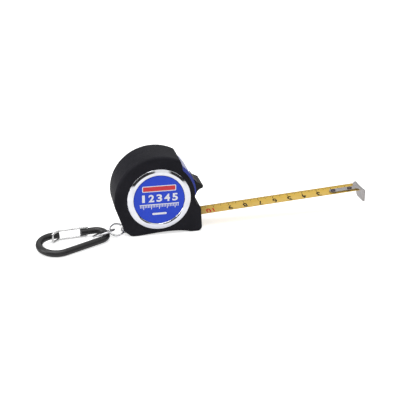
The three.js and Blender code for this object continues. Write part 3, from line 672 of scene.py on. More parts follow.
def mix_carabiner_paint():
    paint = Finish("carabiner_paint", IOR=1.5)
    chips = paint.between(paint.noise(1.3, 5.0), 0.0, 1.0, 0.72, 0.75)
    satin = paint.blend(paint.noise(4.0), ink(14, 14, 15), ink(22, 21, 23))
    gloss = paint.between(paint.noise(0.8, 3.0), 0.27, 0.42)
    return paint.mix(paint.blend(chips, satin, ink(88, 86, 86)), gloss, paint.noise(0.5), 0.008, 0.6)


def every(tree, distance, step, width):
    """1 within half a width of each whole step."""
    cycle = maths(tree, "ADD", maths(tree, "DIVIDE", distance, step), 0.5)
    offset = maths(tree, "SUBTRACT", maths(tree, "FRACT", cycle), 0.5)
    return maths(tree, "LESS_THAN", maths(tree, "ABSOLUTE", offset), width / 2 / step)


PRINTED_HALF = 6.1
# Step, width and length of each kind of stroke
STROKES = [(1, 0.26, 1.3), (5, 0.3, 2.0), (10, 0.36, 2.8)]


def mix_blade_print():
    lacquer = Finish("blade_lacquer", Specular_IOR_Level=0.3, Coat_Weight=0.12, Coat_Roughness=0.25)
    tree = lacquer.tree
    back = -(Matrix.Rotation(RISE, 3, "Y") @ LEAVE)
    inputs = {0: lacquer.place, "Location": back, "Rotation": (0, RISE, 0), "Scale": (1 / MM,) * 3}
    along_blade = add_node(tree, "Mapping", inputs).outputs[0]
    axes = add_node(tree, "SeparateXYZ", {0: along_blade}).outputs
    distance = maths(tree, "SUBTRACT", HOOK_ALONG, axes["X"])
    from_edge = maths(tree, "SUBTRACT", PRINTED_HALF, maths(tree, "ABSOLUTE", axes["Y"]))
    strokes = 0.0
    for step, width, length in STROKES:
        near = maths(tree, "LESS_THAN", from_edge, length)
        stroke = maths(tree, "MULTIPLY", near, every(tree, distance, step, width))
        strokes = maths(tree, "MAXIMUM", stroke, strokes)
    facing = add_node(tree, "TexCoord").outputs["Normal"]
    upward = add_node(tree, "SeparateXYZ", {0: facing}).outputs["Z"]
    printed = maths(tree, "MULTIPLY", strokes, maths(tree, "GREATER_THAN", upward, 0.5))
    yellow = lacquer.blend(lacquer.noise(7.0, 3.0), ink(212, 174, 66), ink(219, 184, 88))
    rub = lacquer.noise(0.6, 5.0, lacquer.stretched(0.1, 1, 1))
    yellow = lacquer.blend(lacquer.between(rub, 0.0, 0.25, 0.45, 0.7), yellow, ink(170, 132, 44))
    faded = maths(tree, "MULTIPLY", printed, lacquer.between(rub, 1.0, 0.8, 0.4, 0.8))
    colour = lacquer.blend(faded, yellow, ink(30, 26, 20))
    return lacquer.mix(colour, lacquer.between(rub, 0.3, 0.5), rub, 0.004, 0.6)


def mix_ink(name, base, worn, roughness=0.4, shine=0.5):
    """Printing ink: a colour that has thinned in small specks."""
    printed = Finish(name, Specular_IOR_Level=shine)
    specks = printed.between(printed.noise(0.35, 4.0), 0.0, 0.5, 0.5, 0.75)
    gloss = printed.between(printed.noise(0.5), roughness * 0.8, roughness * 1.2)
    return printed.mix(printed.blend(specks, base, worn), gloss, printed.noise(0.3), 0.004, 0.5)


def mix_label():
    """Gloss-laminated foil: even ink under a clear film with faint ripples."""
    label = Finish("label_foil", Specular_IOR_Level=0.3, Coat_Weight=0.2, Coat_Roughness=0.12)
    colour = label.blend(label.noise(8.0), ink(24, 70, 214), ink(20, 62, 204))
    return label.mix(colour, label.between(label.noise(0.7, 4.0), 0.32, 0.46), label.noise(3.0), 0.01, 0.4)


carabiner_paint = mix_carabiner_paint()
blade_lacquer = mix_blade_print()
label_foil = mix_label()
scale_black = mix_ink("scale_black", ink(26, 18, 8), ink(74, 56, 22), shine=0.12)
scale_red = mix_ink("scale_red", ink(206, 50, 22), ink(208, 88, 34), shine=0.15)
label_white = mix_ink("label_white", ink(240, 240, 244), ink(214, 218, 234), 0.35)
label_red = mix_ink("label_red", ink(212, 38, 52), ink(196, 44, 66), 0.35)
print("printed:", blade_lacquer.name, label_foil.name)

# %% [markdown]
# ## The case outline
#
# Everything that gives a tape its character is in one side view: a round back with a slight waist above the
# heel, a small arch between two feet, a blunt nose that leans back a little, the finger notch under the button,
# and a top that stops short so that the button has room. It is drawn once, for the rubber covers and, a wall
# thinner and without the waist, for the room inside them.

# %% Draw the case
NOTCH = (AXIS.x + 29.5, AXIS.z - 1.6)
NOTCH_RADIUS = 6.6
RIM_RADIUS = 22.9
RIM_TOP = 48.0
LIP_RADIUS = 25.4
LIP_ANGLE = 54.5
LIP_BULGE = (0.2, -2.6)
TOP_EDGE = 60.5
BACK_LEAN = 19.2
LIP_DROP = 4.8
HEEL_FRONT = -12.48
ARCH = [(-2.09, 0.99), (10.91, 2.8)]
FOOT_BACK = 20.0
NOSE_ROUND = 3.0
NOSE_LEAN = 0.6
NOSE_HEIGHT = 14.0
LIP_HANDLE = (-0.8, 17.0)
WAIST_HANDLE = (-24.3, 10.3)
HEEL_BACK = (-21.98, 3.6)
HEEL_CORNERS = [(-17.98, 0.4), (-16.48, 0.0)]


def case_outline(inwards=0.0, waist=0.5):
    ax = AXIS.x
    pen = Pen(ax + HEEL_FRONT, 0)
    pen.curve([(ax + x, z) for x, z in ARCH], (ax + FOOT_BACK, 0), 16)
    pen.line(NOSE_X - NOSE_ROUND, 0)
    pen.arc((NOSE_X - NOSE_ROUND, NOSE_ROUND), 90, 9)
    pen.line(NOSE_X - NOSE_LEAN, NOSE_HEIGHT)
    lip = 180 + math.degrees(math.asin(LIP_DROP / NOTCH_RADIUS))
    lip_x = NOTCH[0] + NOTCH_RADIUS * math.cos(math.radians(lip))
    pen.curve([(NOSE_X + LIP_HANDLE[0], LIP_HANDLE[1])], (lip_x, NOTCH[1] - LIP_DROP), 8)
    pen.arc(NOTCH, 180 - lip, 3)
    pen.line(*about_spool(RIM_RADIUS, 0))
    pen.arc(SPOOL, RIM_TOP)
    lip_low = about_spool(LIP_RADIUS, LIP_ANGLE)
    pen.curve([(lip_low[0] + LIP_BULGE[0], lip_low[1] + LIP_BULGE[1])], lip_low, 6)
    pen.line(*about_spool(CASE_RADIUS, TOP_EDGE))
    pen.arc(SPOOL, 180 + BACK_LEAN * (1 - waist) - TOP_EDGE, 2.5)
    handle = (ax + WAIST_HANDLE[0] + waist, WAIST_HANDLE[1])
    pen.curve([handle], (ax + HEEL_BACK[0] + waist / 2, HEEL_BACK[1]), 8)
    for x, z in HEEL_CORNERS:
        pen.line(ax + x, z)
    bm = pen.close()
    if inwards:
        shrink(bm, inwards)
    return bm


outline = case_outline()
area = sum(face.calc_area() for face in outline.faces)
print("the outline has", len(outline.verts), "points and", round(area / 100, 1), "cm2")
outline.free()

# %% [markdown]
# ## Rubber covers
#
# The cover is two rubber trays that meet near the middle. Each is the outline pulled out and rounded at its rim,
# then milled: the room for the shell, the opening for the lock and the mouth of the blade, then on the label side
# the window for the bezel, the recess at the heel and the pin's hole, and on the back the wells of three screws.

# %% Make the rubber covers
PARTING_Y = 1.5
GAP = 0.2
SHELL_HALF = 11.15
COVER_ROUND = 1.7
BEZEL_RADIUS = 19.75
TRACK = (AXIS.x - 0.5, AXIS.z + 1.86)
TRACK_RADIUS = 24.04
FAR = 60.0
RUBBER_WALL = 0.8
RUBBER_SOFT = 0.18
# Two radii and two angles about the spool
OPENING = (18.9, 29.5, -1.7, LIP_ANGLE + 0.6)
# Two places along the blade and two heights over it
MOUTH_SLOT = (10.0, 34.0, -1.983, 1.975)
MOUTH_HALF = 6.65
# A radius and two depths along Y
POCKET = (3.3, -10.9, -3.9)
PIN_HOLE = (1.1, -12.15, -2.1)
WAY_OUT = (-11.6, -3.2)
WINDOW_FLOOR = 0.5 - SHELL_HALF
SCREW_WELL = 2.4
WELL_FLOOR = SHELL_HALF - 1


def blade_slab(x0, x1, low, high, half):
    """A slab along the blade, between two heights over its middle line."""
    bm = rectangle(x0, x1, low, high)
    pull_out(bm, -half, half)
    lay(bm, BLADE_LINE)
    return bm


def side_of(y0, y1):
    return box_of((-FAR * 2, y0, -FAR), (FAR * 2, y1, FAR * 2))


def shell_room():
    """The room for the shell and its curved lock track. Both are drawn long, and one pair of planes ends them."""
    track = round_bar(TRACK, TRACK_RADIUS + GAP, -FAR, FAR, 180)
    notch = round_bar(NOTCH, NOTCH_RADIUS, -FAR, FAR)
    opening = carve(wedge(*OPENING, -FAR / 2, FAR / 2), [("INTERSECT", track), ("DIFFERENCE", notch)])
    room = case_outline(inwards=RUBBER_WALL, waist=0.0)
    pull_out(room, -FAR / 3, FAR / 3)
    return carve(room, [("UNION", opening), ("INTERSECT", side_of(-SHELL_HALF - GAP, SHELL_HALF + GAP))])


def heel_recess():
    """The pocket behind the heel where the first link hangs on its pin, open to the back and below."""
    x, z = PIN_PLACE
    way_out = polygon((x - 9, z - 9), (x - 1, z - 4.95), (x - 1, z + 3.3), (x - 9, z + 3.63))
    pull_out(way_out, *WAY_OUT)
    return carve(round_bar(PIN_PLACE, *POCKET), [("UNION", way_out)])


def cover_blank():
    outer = case_outline()
    pull_out(outer, -CASE_HALF, CASE_HALF)
    round_rims(outer, COVER_ROUND)
    return cut(outer, shell_room(), blade_slab(*MOUTH_SLOT, MOUTH_HALF))


def finish_cover(bm, side):
    print(side, "cover holds", round(bm.calc_volume()), "mm3 of rubber")
    soften(finish_piece(bm, f"{side}_rubber", f"{side}_cover", "case", "rubber", cover_rubber), RUBBER_SOFT)


finish_cover(cut(
    cover_blank(),
    side_of(PARTING_Y - GAP / 2, FAR),
    round_bar(SPOOL, BEZEL_RADIUS + GAP, -FAR, WINDOW_FLOOR, 160),
    heel_recess(),
    round_bar(PIN_PLACE, *PIN_HOLE, 32),
), "front")

screws = [middle(f"case_screw_{i}") for i in (1, 2, 3)]
finish_cover(cut(
    cover_blank(),
    side_of(-FAR, PARTING_Y + GAP / 2),
    *[round_bar((place.x, place.z), SCREW_WELL, WELL_FLOOR, FAR, 48) for place in screws],
), "rear")

# %% [markdown]
# ## Chrome bezel and label
#
# The bezel is a turned ring: its profile is drawn once and spun round the spool axis. A steep outer band and a
# flat crown catch different parts of the room, which is what makes chrome look like chrome. The label is a thin
# disc let into it. Its print is generic: a plain red bar with a white edge, five plain numbers, a short scale
# under them and a small bar, made as raised ink so that each colour has its own finish.

# %% Turn the bezel and cut the label


def spun(bm, centre, axis, sides):
    """Spins a closed line all the way round an axis."""
    bmesh.ops.spin(
        bm, geom=bm.verts[:] + bm.edges[:], cent=(centre[0], 0, centre[1]), axis=axis, angle=2 * math.pi,
        steps=sides, use_merge=True,
    )


def turned(profile, centre, sides=160):
    """Spins a closed (radius, y) profile round an axis along Y through (x, z)."""
    bm = bmesh.new()
    made = [bm.verts.new((centre[0] + radius, y, centre[1])) for radius, y in profile]
    for i, vertex in enumerate(made):
        bm.edges.new((vertex, made[(i + 1) % len(made)]))
    spun(bm, centre, (0, 1, 0), sides)
    merge(bm)
    bmesh.ops.dissolve_degenerate(bm, dist=1e-4, edges=bm.edges)
    face_outwards(bm)
    return bm


CROWN_Y = corners("bezel_ring")[0].y
LABEL_Y = corners("label_disc")[0].y
LABEL_RADIUS = 15.7
BEZEL_BORE = 15.9
OUTER_BAND = [(0, 0.9), (0.06, 0.72), (0.18, 0.62), (1.62, 0.05), (1.75, 0.01), (1.9, 0)]
INNER_LIP = [(0.95, 0), (0.8, 0.03), (0.15, 0.32), (0.03, 0.45), (0, 0.75)]

ring = turned([
    (BEZEL_BORE, -SHELL_HALF - GAP),
    (BEZEL_RADIUS, -SHELL_HALF - GAP),
    *[(BEZEL_RADIUS - inwards, CROWN_Y + back) for inwards, back in OUTER_BAND],
    *[(BEZEL_BORE + outwards, CROWN_Y + back) for outwards, back in INNER_LIP],
], SPOOL)
finish_piece(ring, "chrome_bezel", "bezel_ring", "case", "bezel", chrome, sharp=14)

INK = 0.04


def print_on_label(shape, material_index, lift=0.0):
    """Pulls a flat drawing out of the label's face by the thickness of ink, and adds it to the label."""
    pull_out(shape, LABEL_Y + INK / 2 - lift, LABEL_Y - INK / 2 - lift)
    add_drawing(label, shape, material_index)


def add_drawing(target, source, material_index):
    """Adds one drawing's faces to another, with a material of their own."""
    for face in source.faces:
        face.material_index = material_index
    spare = bpy.data.meshes.new("spare")
    source.to_mesh(spare)
    source.free()
    target.from_mesh(spare)
    bpy.data.meshes.remove(spare)


def bar(x, z, width, height, round_share=0.0):
    """A flat bar about a point of the label, with round ends if asked."""
    bm = rectangle(x - width / 2, x + width / 2, z - height / 2, z + height / 2)
    if round_share:
        bmesh.ops.bevel(
            bm, geom=bm.verts[:], offset=height / 2 * round_share, offset_type="OFFSET", segments=6,
            profile=0.5, affect="VERTICES", material=-1,
        )
    return bm


def numeral(text, height, width, bold):
    """A plain number as flat faces in X and Z, centred on the origin, with a set height and width a digit."""
    font = bpy.data.curves.new("numeral", "FONT")
    font.body = text
    font.offset = bold
    bm = drawing_of(add_object("numeral", font))
    low = Vector([min(v.co[i] for v in bm.verts) for i in range(3)])
    high = Vector([max(v.co[i] for v in bm.verts) for i in range(3)])
    shift(bm, -(low + high) / 2)
    size = high - low
    bmesh.ops.scale(bm, vec=(width * len(text) / size.x, height / size.y, 1), verts=bm.verts)
    turn(bm, QUARTER, "X")
    return bm


WHITE_INK, RED_INK = 1, 2
# Rise over the axis, width, height, how round the ends are, colour and lift
BARS = [
    (7.4, 21.0, 3.9, 0.4, WHITE_INK, 0.0),
    (7.4, 20.0, 2.9, 0.4, RED_INK, INK),
    (-2.9, 24.42, 0.5, 0.0, WHITE_INK, 0.0),
    (-9.2, 9.0, 1.3, 0.9, WHITE_INK, 0.0),
]
NUMBER_STEP = 4.9
DIGIT_HEIGHT = 4.9
DIGIT_WIDTHS = [1.7, 3.5, 3.5, 3.5, 3.5]
DIGIT_BOLD = 0.03
DIGIT_RISE = 1.2
COMB_DROP = 3.1
LONG_TICK, SHORT_TICK = 2.8, 1.7
TICK_WIDTH = 0.42

label = round_bar(SPOOL, LABEL_RADIUS, LABEL_Y, LABEL_Y + 0.5, 128)
for rise, width, height, round_share, colour, lift in BARS:
    print_on_label(bar(AXIS.x, AXIS.z + rise, width, height, round_share), colour, lift)
for value, width in enumerate(DIGIT_WIDTHS, 1):
    number = numeral(str(value), DIGIT_HEIGHT, width, DIGIT_BOLD)
    shift(number, (AXIS.x + (value - 3) * NUMBER_STEP, 0, AXIS.z + DIGIT_RISE))
    print_on_label(number, WHITE_INK)
for tick in range(-12, 13):
    length = SHORT_TICK if tick % 5 else LONG_TICK
    stroke = bar(AXIS.x + tick * NUMBER_STEP / 5, AXIS.z - COMB_DROP - length / 2, TICK_WIDTH, length)
    print_on_label(stroke, WHITE_INK)
finish_piece(label, "label_face", "label_disc", "case", "label", label_foil, label_white, label_red, sharp=40)

# %% [markdown]
# ## Lock button
#
# The button is a curved rocker that slides on the blue track. From the side it has a blunt nose that stands out
# over the finger notch, three thumb grooves behind it and a short tail. Its lower face is hollowed so that a
# fingertip can get under it. The side view is drawn about the centre of the track, pulled out and rounded. A stem
# goes through the slot in the shell, and a thin strip on its back closes the slot from inside, as on real locks
# that keep grit out.

# %% Shape the lock button
BUTTON_HALF = 7.4
BUTTON_BASE = TRACK_RADIUS + 0.65
FOOT = -0.22
HOLLOW = (AXIS.x + 29.4, AXIS.z - 2.0)
HOLLOW_RADIUS = 5.28
BUTTON_FROM, BUTTON_TO = -6.2, 18.0
TIP = (4.7, 5.1)
BUTTON_RIM = 0.2
# Heights over the track and degrees along it
GROOVES = [(3.5, 9.1), (2.15, 11.0), (0.8, 12.9)]
GROOVE_RADIUS = 0.42
GROOVE_HALF = BUTTON_HALF - 1.6
# Two radii and two angles about the spool, and two depths along Y
STEM = (19.2, 24.95, 14, 22, -2.6, 2.6)
SLOT_STRIP = (22.05, 22.55, 20, 34.8, -3.4, 3.4)


def about_track(height, degrees):
    return on_circle(TRACK, BUTTON_BASE + height, degrees)


def button_blank():
    pen = Pen(*about_track(FOOT, BUTTON_FROM))
    pen.line(*on_circle(HOLLOW, HOLLOW_RADIUS, 168))
    pen.arc(HOLLOW, -64, 4)
    tip = about_track(*TIP)
    pen.curve([(tip[0] - 0.1, tip[1] - 1.15), (tip[0] + 0.05, tip[1] - 0.7)], tip, 6)
    pen.curve([(tip[0] - 0.02, tip[1] + 0.75), about_track(4.6, 7.0)], about_track(4.03, 8.1), 8)
    pen.curve([about_track(2.8, 10.1), about_track(1.75, 11.5)], about_track(1.1, 13.0), 8)
    pen.curve([about_track(0.75, 14.2)], about_track(0.3, 17.6), 6)
    pen.line(*about_track(FOOT, BUTTON_TO))
    pen.arc(TRACK, BUTTON_FROM - BUTTON_TO)
    bm = pen.close()
    pull_out(bm, -BUTTON_HALF, BUTTON_HALF)
    round_rims(bm, BUTTON_RIM, 3)
    return bm


grooves = [round_bar(about_track(*place), GROOVE_RADIUS, -GROOVE_HALF, GROOVE_HALF, 24) for place in GROOVES]
added = [("UNION", wedge(*STEM)), ("UNION", wedge(*SLOT_STRIP))]
button = carve(button_blank(), [("DIFFERENCE", groove) for groove in grooves] + added)
soften(finish_piece(button, "thumb_button", "lock_button", "lock", "button", button_black), 0.14)

# %% [markdown]
# ## Blue shells and the parts inside
#
# The shells, the spool, the spring and the lock arm keep the solid model's shapes. A solid from the frame comes
# as loose flat triangles, which would look faceted on a round part, so each gets a merged copy: flat regions
# become single faces, and shading is smooth except at real edges.

# %% Smooth the moulded and turned parts


def smoothed(node, name, body, slot, material):
    """A merged copy of a solid, with smooth curves and crisp edges."""
    bm = bmesh.new()
    bm.from_mesh(frame["nodes"][node].data)
    bmesh.ops.scale(bm, vec=(1 / MM,) * 3, verts=bm.verts)
    bmesh.ops.remove_doubles(bm, verts=bm.verts, dist=2e-3)
    bmesh.ops.dissolve_limit(bm, angle_limit=math.radians(0.3), verts=bm.verts, edges=bm.edges)
    soften(finish_piece(bm, name, node, body, slot, material, sharp=34), 0.02)


INSIDE = [
    ("front_shell", "front_case_half", "shell", shell_blue),
    ("rear_shell", "rear_case_half", "shell", shell_blue),
    ("spring_arbor", "arbor", "fastener", screw_steel),
    ("spool_drum", "drum", "spool", spool_white),
    ("spool_cover", "drum_cover", "spool", spool_white),
    ("front_washer", "washer_front", "fastener", screw_steel),
    ("rear_washer", "washer_rear", "fastener", screw_steel),
    ("drive_spring", "return_spring", "spring_steel", spring_steel),
    ("lock_arm", "lock_strap", "spring_steel", spring_steel),
    ("brake_pad", "brake_shoe", "pad", pad_rubber),
    ("mouth_guide", "guide_plate", "fastener", screw_steel),
    ("blade_coil", "wound_blade", "blade", blade_lacquer),
]
body_of = {node: body for body, nodes in frame["record"]["behaviour"]["bodies"].items() for node in nodes}
for node, name, slot, material in INSIDE:
    smoothed(node, name, body_of[node], slot, material)

# %% [markdown]
# ## The blade
#
# The blade is one strip of steel that is flat on the spool and springs into a trough outside, which is what lets
# it stand out stiff. A flat grid is bent vertex by vertex to that changing curve, and given its thickness. The
# centimetre numbers are plain type, read from the hook end, so from here they stand on their heads. They are cut
# along lines so that they can follow the trough.

# %% Bend the blade
BLADE_HALF = 6.35
BLADE_THICKNESS = 0.25
TROUGH_RADIUS = 13.06
HOOK_THICKNESS = 0.8
BLADE_START = 1.2
SHORT_OF_LEG = 1.1
BLADE_END = HOOK_ALONG - HOOK_THICKNESS - SHORT_OF_LEG
BLADE_CORNER = 1.5
CURLED_BY = MOUTH_ALONG - 10.4
FLATTEST = 0.02


def smooth_step(share):
    share = min(max(share, 0), 1)
    return share * share * (3 - 2 * share)


def trough_radius(along):
    """The strip's cross curve: almost flat at the spool, and the full trough before the mouth."""
    share = smooth_step((along - BLADE_START) / (CURLED_BY - BLADE_START))
    return TROUGH_RADIUS / max(share, FLATTEST)


def on_trough(along, across, lift=0.0, radius=None):
    """A point of the bent strip: along and across are lengths on the flat strip."""
    radius = radius or trough_radius(along)
    half = BLADE_HALF / radius
    centre = radius * math.sin(half) / half
    angle = across / radius
    reach = radius - lift
    return Vector((along, reach * math.sin(angle), centre - reach * math.cos(angle)))


def bent_strip():
    bm = bmesh.new()
    bmesh.ops.create_grid(bm, x_segments=132, y_segments=24, size=0.5)
    for vertex in bm.verts:
        along = BLADE_START + (vertex.co.x + 0.5) * (BLADE_END - BLADE_START)
        taper = max(0, along - BLADE_END + BLADE_CORNER)
        vertex.co = on_trough(along, vertex.co.y * 2 * (BLADE_HALF - taper), -BLADE_THICKNESS / 2)
    face_outwards(bm)
    if sum(face.normal.z for face in bm.faces) > 0:
        bmesh.ops.reverse_faces(bm, faces=bm.faces)
    bmesh.ops.solidify(bm, geom=bm.faces[:], thickness=BLADE_THICKNESS)
    return bm


CENTIMETRE = 10.0
NUMBER_HEIGHT = 6.0
NUMBER_WIDTH = 2.7
NUMBER_BOLD = 0.025
NUMBER_PAST = -0.35
TEN_PAST = 3.0
NUMBER_CUTS = [0.62 * i for i in range(-5, 6)]
INK_TOP, INK_ROOT = 0.03, -0.02


def scale_number(value):
    """A number of the scale, bent onto the blade, with its foot towards the far edge."""
    bm = numeral(str(value), NUMBER_HEIGHT, NUMBER_WIDTH, NUMBER_BOLD)
    turn(bm, -QUARTER, "X")
    turn(bm, math.pi, "Z")
    for across in NUMBER_CUTS:
        bmesh.ops.bisect_plane(
            bm, geom=bm.verts[:] + bm.edges[:] + bm.faces[:], plane_co=(0, across, 0), plane_no=(0, 1, 0),
        )
    top = set(extruded(bm))
    place = HOOK_ALONG - CENTIMETRE * value - (TEN_PAST if value == 10 else NUMBER_PAST)
    for vertex in bm.verts:
        lift = BLADE_THICKNESS / 2 + (INK_TOP if vertex in top else INK_ROOT)
        vertex.co = on_trough(place + vertex.co.x, vertex.co.y, lift)
    face_outwards(bm)
    return bm


strip = bent_strip()
for value in range(1, 11):
    add_drawing(strip, scale_number(value), 2 if value == 10 else 1)
lay(strip, BLADE_LINE)
blade = finish_piece(
    strip, "printed_blade", "blade", None, "blade", blade_lacquer, scale_black, scale_red, sharp=40,
)
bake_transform(blade)

# %% [markdown]
# ## End hook and rivets
#
# The hook is one stamping: a narrow tongue lies in the trough, widens into a shoulder and flattens out, then the
# sheet folds down into a leg with two round corners. A flat grid follows that path, with its half width changing
# along it. Solidify gives it the sheet's thickness, and a fine bevel breaks the sheared edges. Two rivets go
# through it.

# %% Fold the hook
TONGUE_LENGTH = 22.0
TONGUE_HALF = 2.5
TONGUE_ROUND = 1.5
HOOK_HALF = 7.3
SHOULDER = 3.6
SHOULDER_ROUND = 1.6
SHOULDER_LEAD = 1.5
WING_SLOPE = 0.9
TONGUE_LIFT = 0.775
FOLD_RADIUS = 1.4
FOLD_TROUGH = 60.0
FOLD_LIFT = 1.1
FLATTENS_FROM = HOOK_ALONG - SHOULDER - 2.6
FLATTENS_IN = 3.6
LEG_DROP = 7.95
LEG_LENGTH = 7.3
LEG_FOOT_HALF = 6.6
LEG_CORNER = 1.5

tongue_tip = HOOK_ALONG - TONGUE_LENGTH
fold_start = HOOK_ALONG - HOOK_THICKNESS / 2 - FOLD_RADIUS
flat_length = fold_start - tongue_tip
fold_length = FOLD_RADIUS * QUARTER


def rounded_end(radius, past):
    """How far a round corner cuts in, at a distance past its start."""
    return radius - math.sqrt(max(radius**2 - max(past, 0) ** 2, 0))


def hook_half(along, fallen):
    """Half the hook's width, by the place along the tongue and how far down the leg (0 to 1)."""
    if fallen > 0:
        half = HOOK_HALF + (LEG_FOOT_HALF - HOOK_HALF) * smooth_step(fallen)
        return half - rounded_end(LEG_CORNER, LEG_CORNER - (1 - fallen) * LEG_LENGTH)
    from_tip = along - tongue_tip
    if from_tip < TONGUE_ROUND:
        return TONGUE_HALF - rounded_end(TONGUE_ROUND, TONGUE_ROUND - from_tip)
    past = along - (HOOK_ALONG - SHOULDER)
    shoulder = (HOOK_HALF - SHOULDER_ROUND - TONGUE_HALF) * smooth_step((past + SHOULDER_LEAD) / SHOULDER_ROUND)
    return TONGUE_HALF + shoulder + min(max(0, past) * WING_SLOPE, SHOULDER_ROUND)


def sheet_at(along):
    """Lift and cross radius: the tongue is as hollow as the blade, and the sheet flattens towards its fold."""
    share = smooth_step((along - FLATTENS_FROM) / FLATTENS_IN)
    bend = 1 / TROUGH_RADIUS + share * (1 / FOLD_TROUGH - 1 / TROUGH_RADIUS)
    return TONGUE_LIFT + share * (FOLD_LIFT - TONGUE_LIFT), 1 / bend


def on_hook(share, across):
    """A point of the hook's middle sheet: share runs from the tongue's tip to the foot of the leg."""
    path = share * (flat_length + fold_length + LEG_LENGTH)
    if path <= flat_length:
        along = tongue_tip + path
        return on_trough(along, across * hook_half(along, 0), *sheet_at(along))
    folded = min((path - flat_length) / FOLD_RADIUS, QUARTER)
    fallen = max(0, (path - flat_length - fold_length) / LEG_LENGTH)
    half = hook_half(fold_start, fallen)
    top = on_trough(fold_start, across * half, FOLD_LIFT, FOLD_TROUGH)
    low = top.z - FOLD_RADIUS * (1 - math.cos(folded))
    return Vector((fold_start + FOLD_RADIUS * math.sin(folded), top.y, low + (-LEG_DROP - low) * fallen))


def hook_sheet():
    bm = bmesh.new()
    bmesh.ops.create_grid(bm, x_segments=150, y_segments=28, size=0.5)
    for vertex in bm.verts:
        vertex.co = on_hook(vertex.co.x + 0.5, vertex.co.y * 2)
    bmesh.ops.remove_doubles(bm, verts=bm.verts, dist=1e-3)
    face_outwards(bm)
    lay(bm, BLADE_LINE)
    return bm


hook = finish_piece(hook_sheet(), "stamped_hook", "end_hook", "hook", "hook", zinc, sharp=180)
sheet = hook.modifiers.new("sheet", "SOLIDIFY")
sheet.thickness = HOOK_THICKNESS * MM
sheet.offset = 0
soften(hook, 0.12, angle=60)

RIVETS = [8.3, TONGUE_LENGTH - 2.3]
RIVET_PROFILE = [
    (0, 1.67), (0.7, 1.6), (1.2, 1.4), (1.5, 1.15), (1.6, 0.98), (0.8, 0.98), (0.8, -0.73), (1.36, -0.73),
    (1.3, -0.95), (1.0, -1.03), (0, -1.03),
]


def rivet_blank(along):
    """A domed head on the tongue, a shank, and a flat closed foot under the blade."""
    bm = turned(RIVET_PROFILE, (0, 0), 40)
    turn(bm, QUARTER, "X")
    shift(bm, (along, 0, 0))
    lay(bm, BLADE_LINE)
    return bm


for i, back in enumerate(RIVETS, 1):
    finish_piece(rivet_blank(HOOK_ALONG - back), f"rivet_{i}", f"hook_rivet_{i}", "blade", "fastener", rivet_steel_and_painted_shade)

# %% [markdown]
# ## Wire rings
#
# Three rings of round wire lead from the pin to the carabiner. Each is a small circle spun round a large one,
# then tipped to the plane that the solid lies in, which the joints' axes give, and set at the solid's middle.

# %% Spin the rings and turn the pin and screws
small_normal = Vector(joint("large_ring_swing")["axis"]).cross((1, 0, 0))
large_normal = Vector(joint("carabiner_swing")["axis"])
RINGS = [
    ("chain_link", "first_link", "link", 2.4, 1.0, Vector((0, 1, 0))),
    ("jump_ring", "small_wire_ring", "small_ring", 4.45, 1.1, small_normal),
    ("carabiner_ring", "large_wire_ring", "large_ring", 6.8, 1.2, large_normal),
]


def wire_ring(radius, wire, normal, place):
    bm = bmesh.new()
    bmesh.ops.create_circle(bm, radius=wire / 2, segments=20)
    turn(bm, QUARTER, "X")
    shift(bm, (radius, 0, 0))
    spun(bm, (0, 0), (0, 0, 1), 96)
    face_outwards(bm)
    lay(bm, normal.to_track_quat("Z", "Y").to_matrix().to_4x4())
    shift(bm, place)
    return bm


for node, name, body, radius, wire, normal in RINGS:
    finish_piece(wire_ring(radius, wire, normal, middle(node)), name, node, body, "ring", nickel, sharp=60)

PIN_RADIUS = 0.9
pin_low, pin_high = corners("lanyard_pin")
pin = round_bar(PIN_PLACE, PIN_RADIUS, pin_low.y, pin_high.y, 40)
soften(finish_piece(pin, "heel_pin", "lanyard_pin", "case", "fastener", screw_steel), 0.15)


RECESS = Vector((1.15, 1.0, 0.24))
RECESS_TURN = 0.35


def screw_blank(place, low_y, high_y):
    """A pan-head screw with a cross recess, driven in from the back."""
    seat, under = high_y - 1.3, low_y + 0.8
    bm = turned([
        (0, low_y), (0.55, low_y + 0.4), (0.95, under), (0.95, seat), (1.9, seat), (1.9, seat + 0.62),
        (1.7, seat + 0.92), (1.2, seat + 1.18), (0.5, high_y), (0, high_y),
    ], (place.x, place.z), 48)
    arms = []
    for angle in (RECESS_TURN, RECESS_TURN + QUARTER):
        arm = box_of(-RECESS, RECESS)
        turn(arm, angle, "Y")
        shift(arm, (place.x, high_y + 0.1, place.z))
        arms.append(arm)
    return cut(bm, *arms)


for i in (1, 2, 3):
    low, high = corners(f"case_screw_{i}")
    screw = screw_blank((low + high) / 2, low.y, high.y)
    soften(finish_piece(screw, f"cross_screw_{i}", f"case_screw_{i}", "case", "fastener", screw_steel), 0.05)

# %% [markdown]
# ## Carabiner and gate
#
# The body is one painted rod, bent into two arcs and two straight runs, and left open where the gate closes it.
# A circle of edges is extruded along the straights and spun round the two bends, so it stays perfectly round.
# The gate is a thinner bright wire, bent into a narrow hairpin. A curve with a round bevel makes such wire in
# one step, and is turned into a mesh. Both are drawn flat and then laid down with the gate joint's own axes.

# %% Bend the carabiner
ROD = 2.1
SMALL_END = 6.25
LARGE_END = 10.5
ENDS_APART = 25.7
NOSE_PLACE = 20.4
PIVOT_PLACE = 3.2
PIVOT_HOLE = 1.0
TAPER = math.asin((LARGE_END - SMALL_END) / ENDS_APART)


def side_at(x):
    """The rod's middle line along the gate side of the carabiner."""
    return -(SMALL_END / math.cos(TAPER) + x * math.tan(TAPER))


hinge = joint("gate_swing")
upward = Vector(hinge["axis"]).normalized()
forward = upward.cross((0, 0, 1)).normalized()
across = upward.cross(forward)
lie_down = Matrix((forward, across, upward)).transposed()
clip_origin = Vector(hinge["pos_m"]) / MM - lie_down @ Vector((PIVOT_PLACE, side_at(PIVOT_PLACE), 0))
CLIP_LINE = Matrix.Translation(clip_origin) @ lie_down.to_4x4()


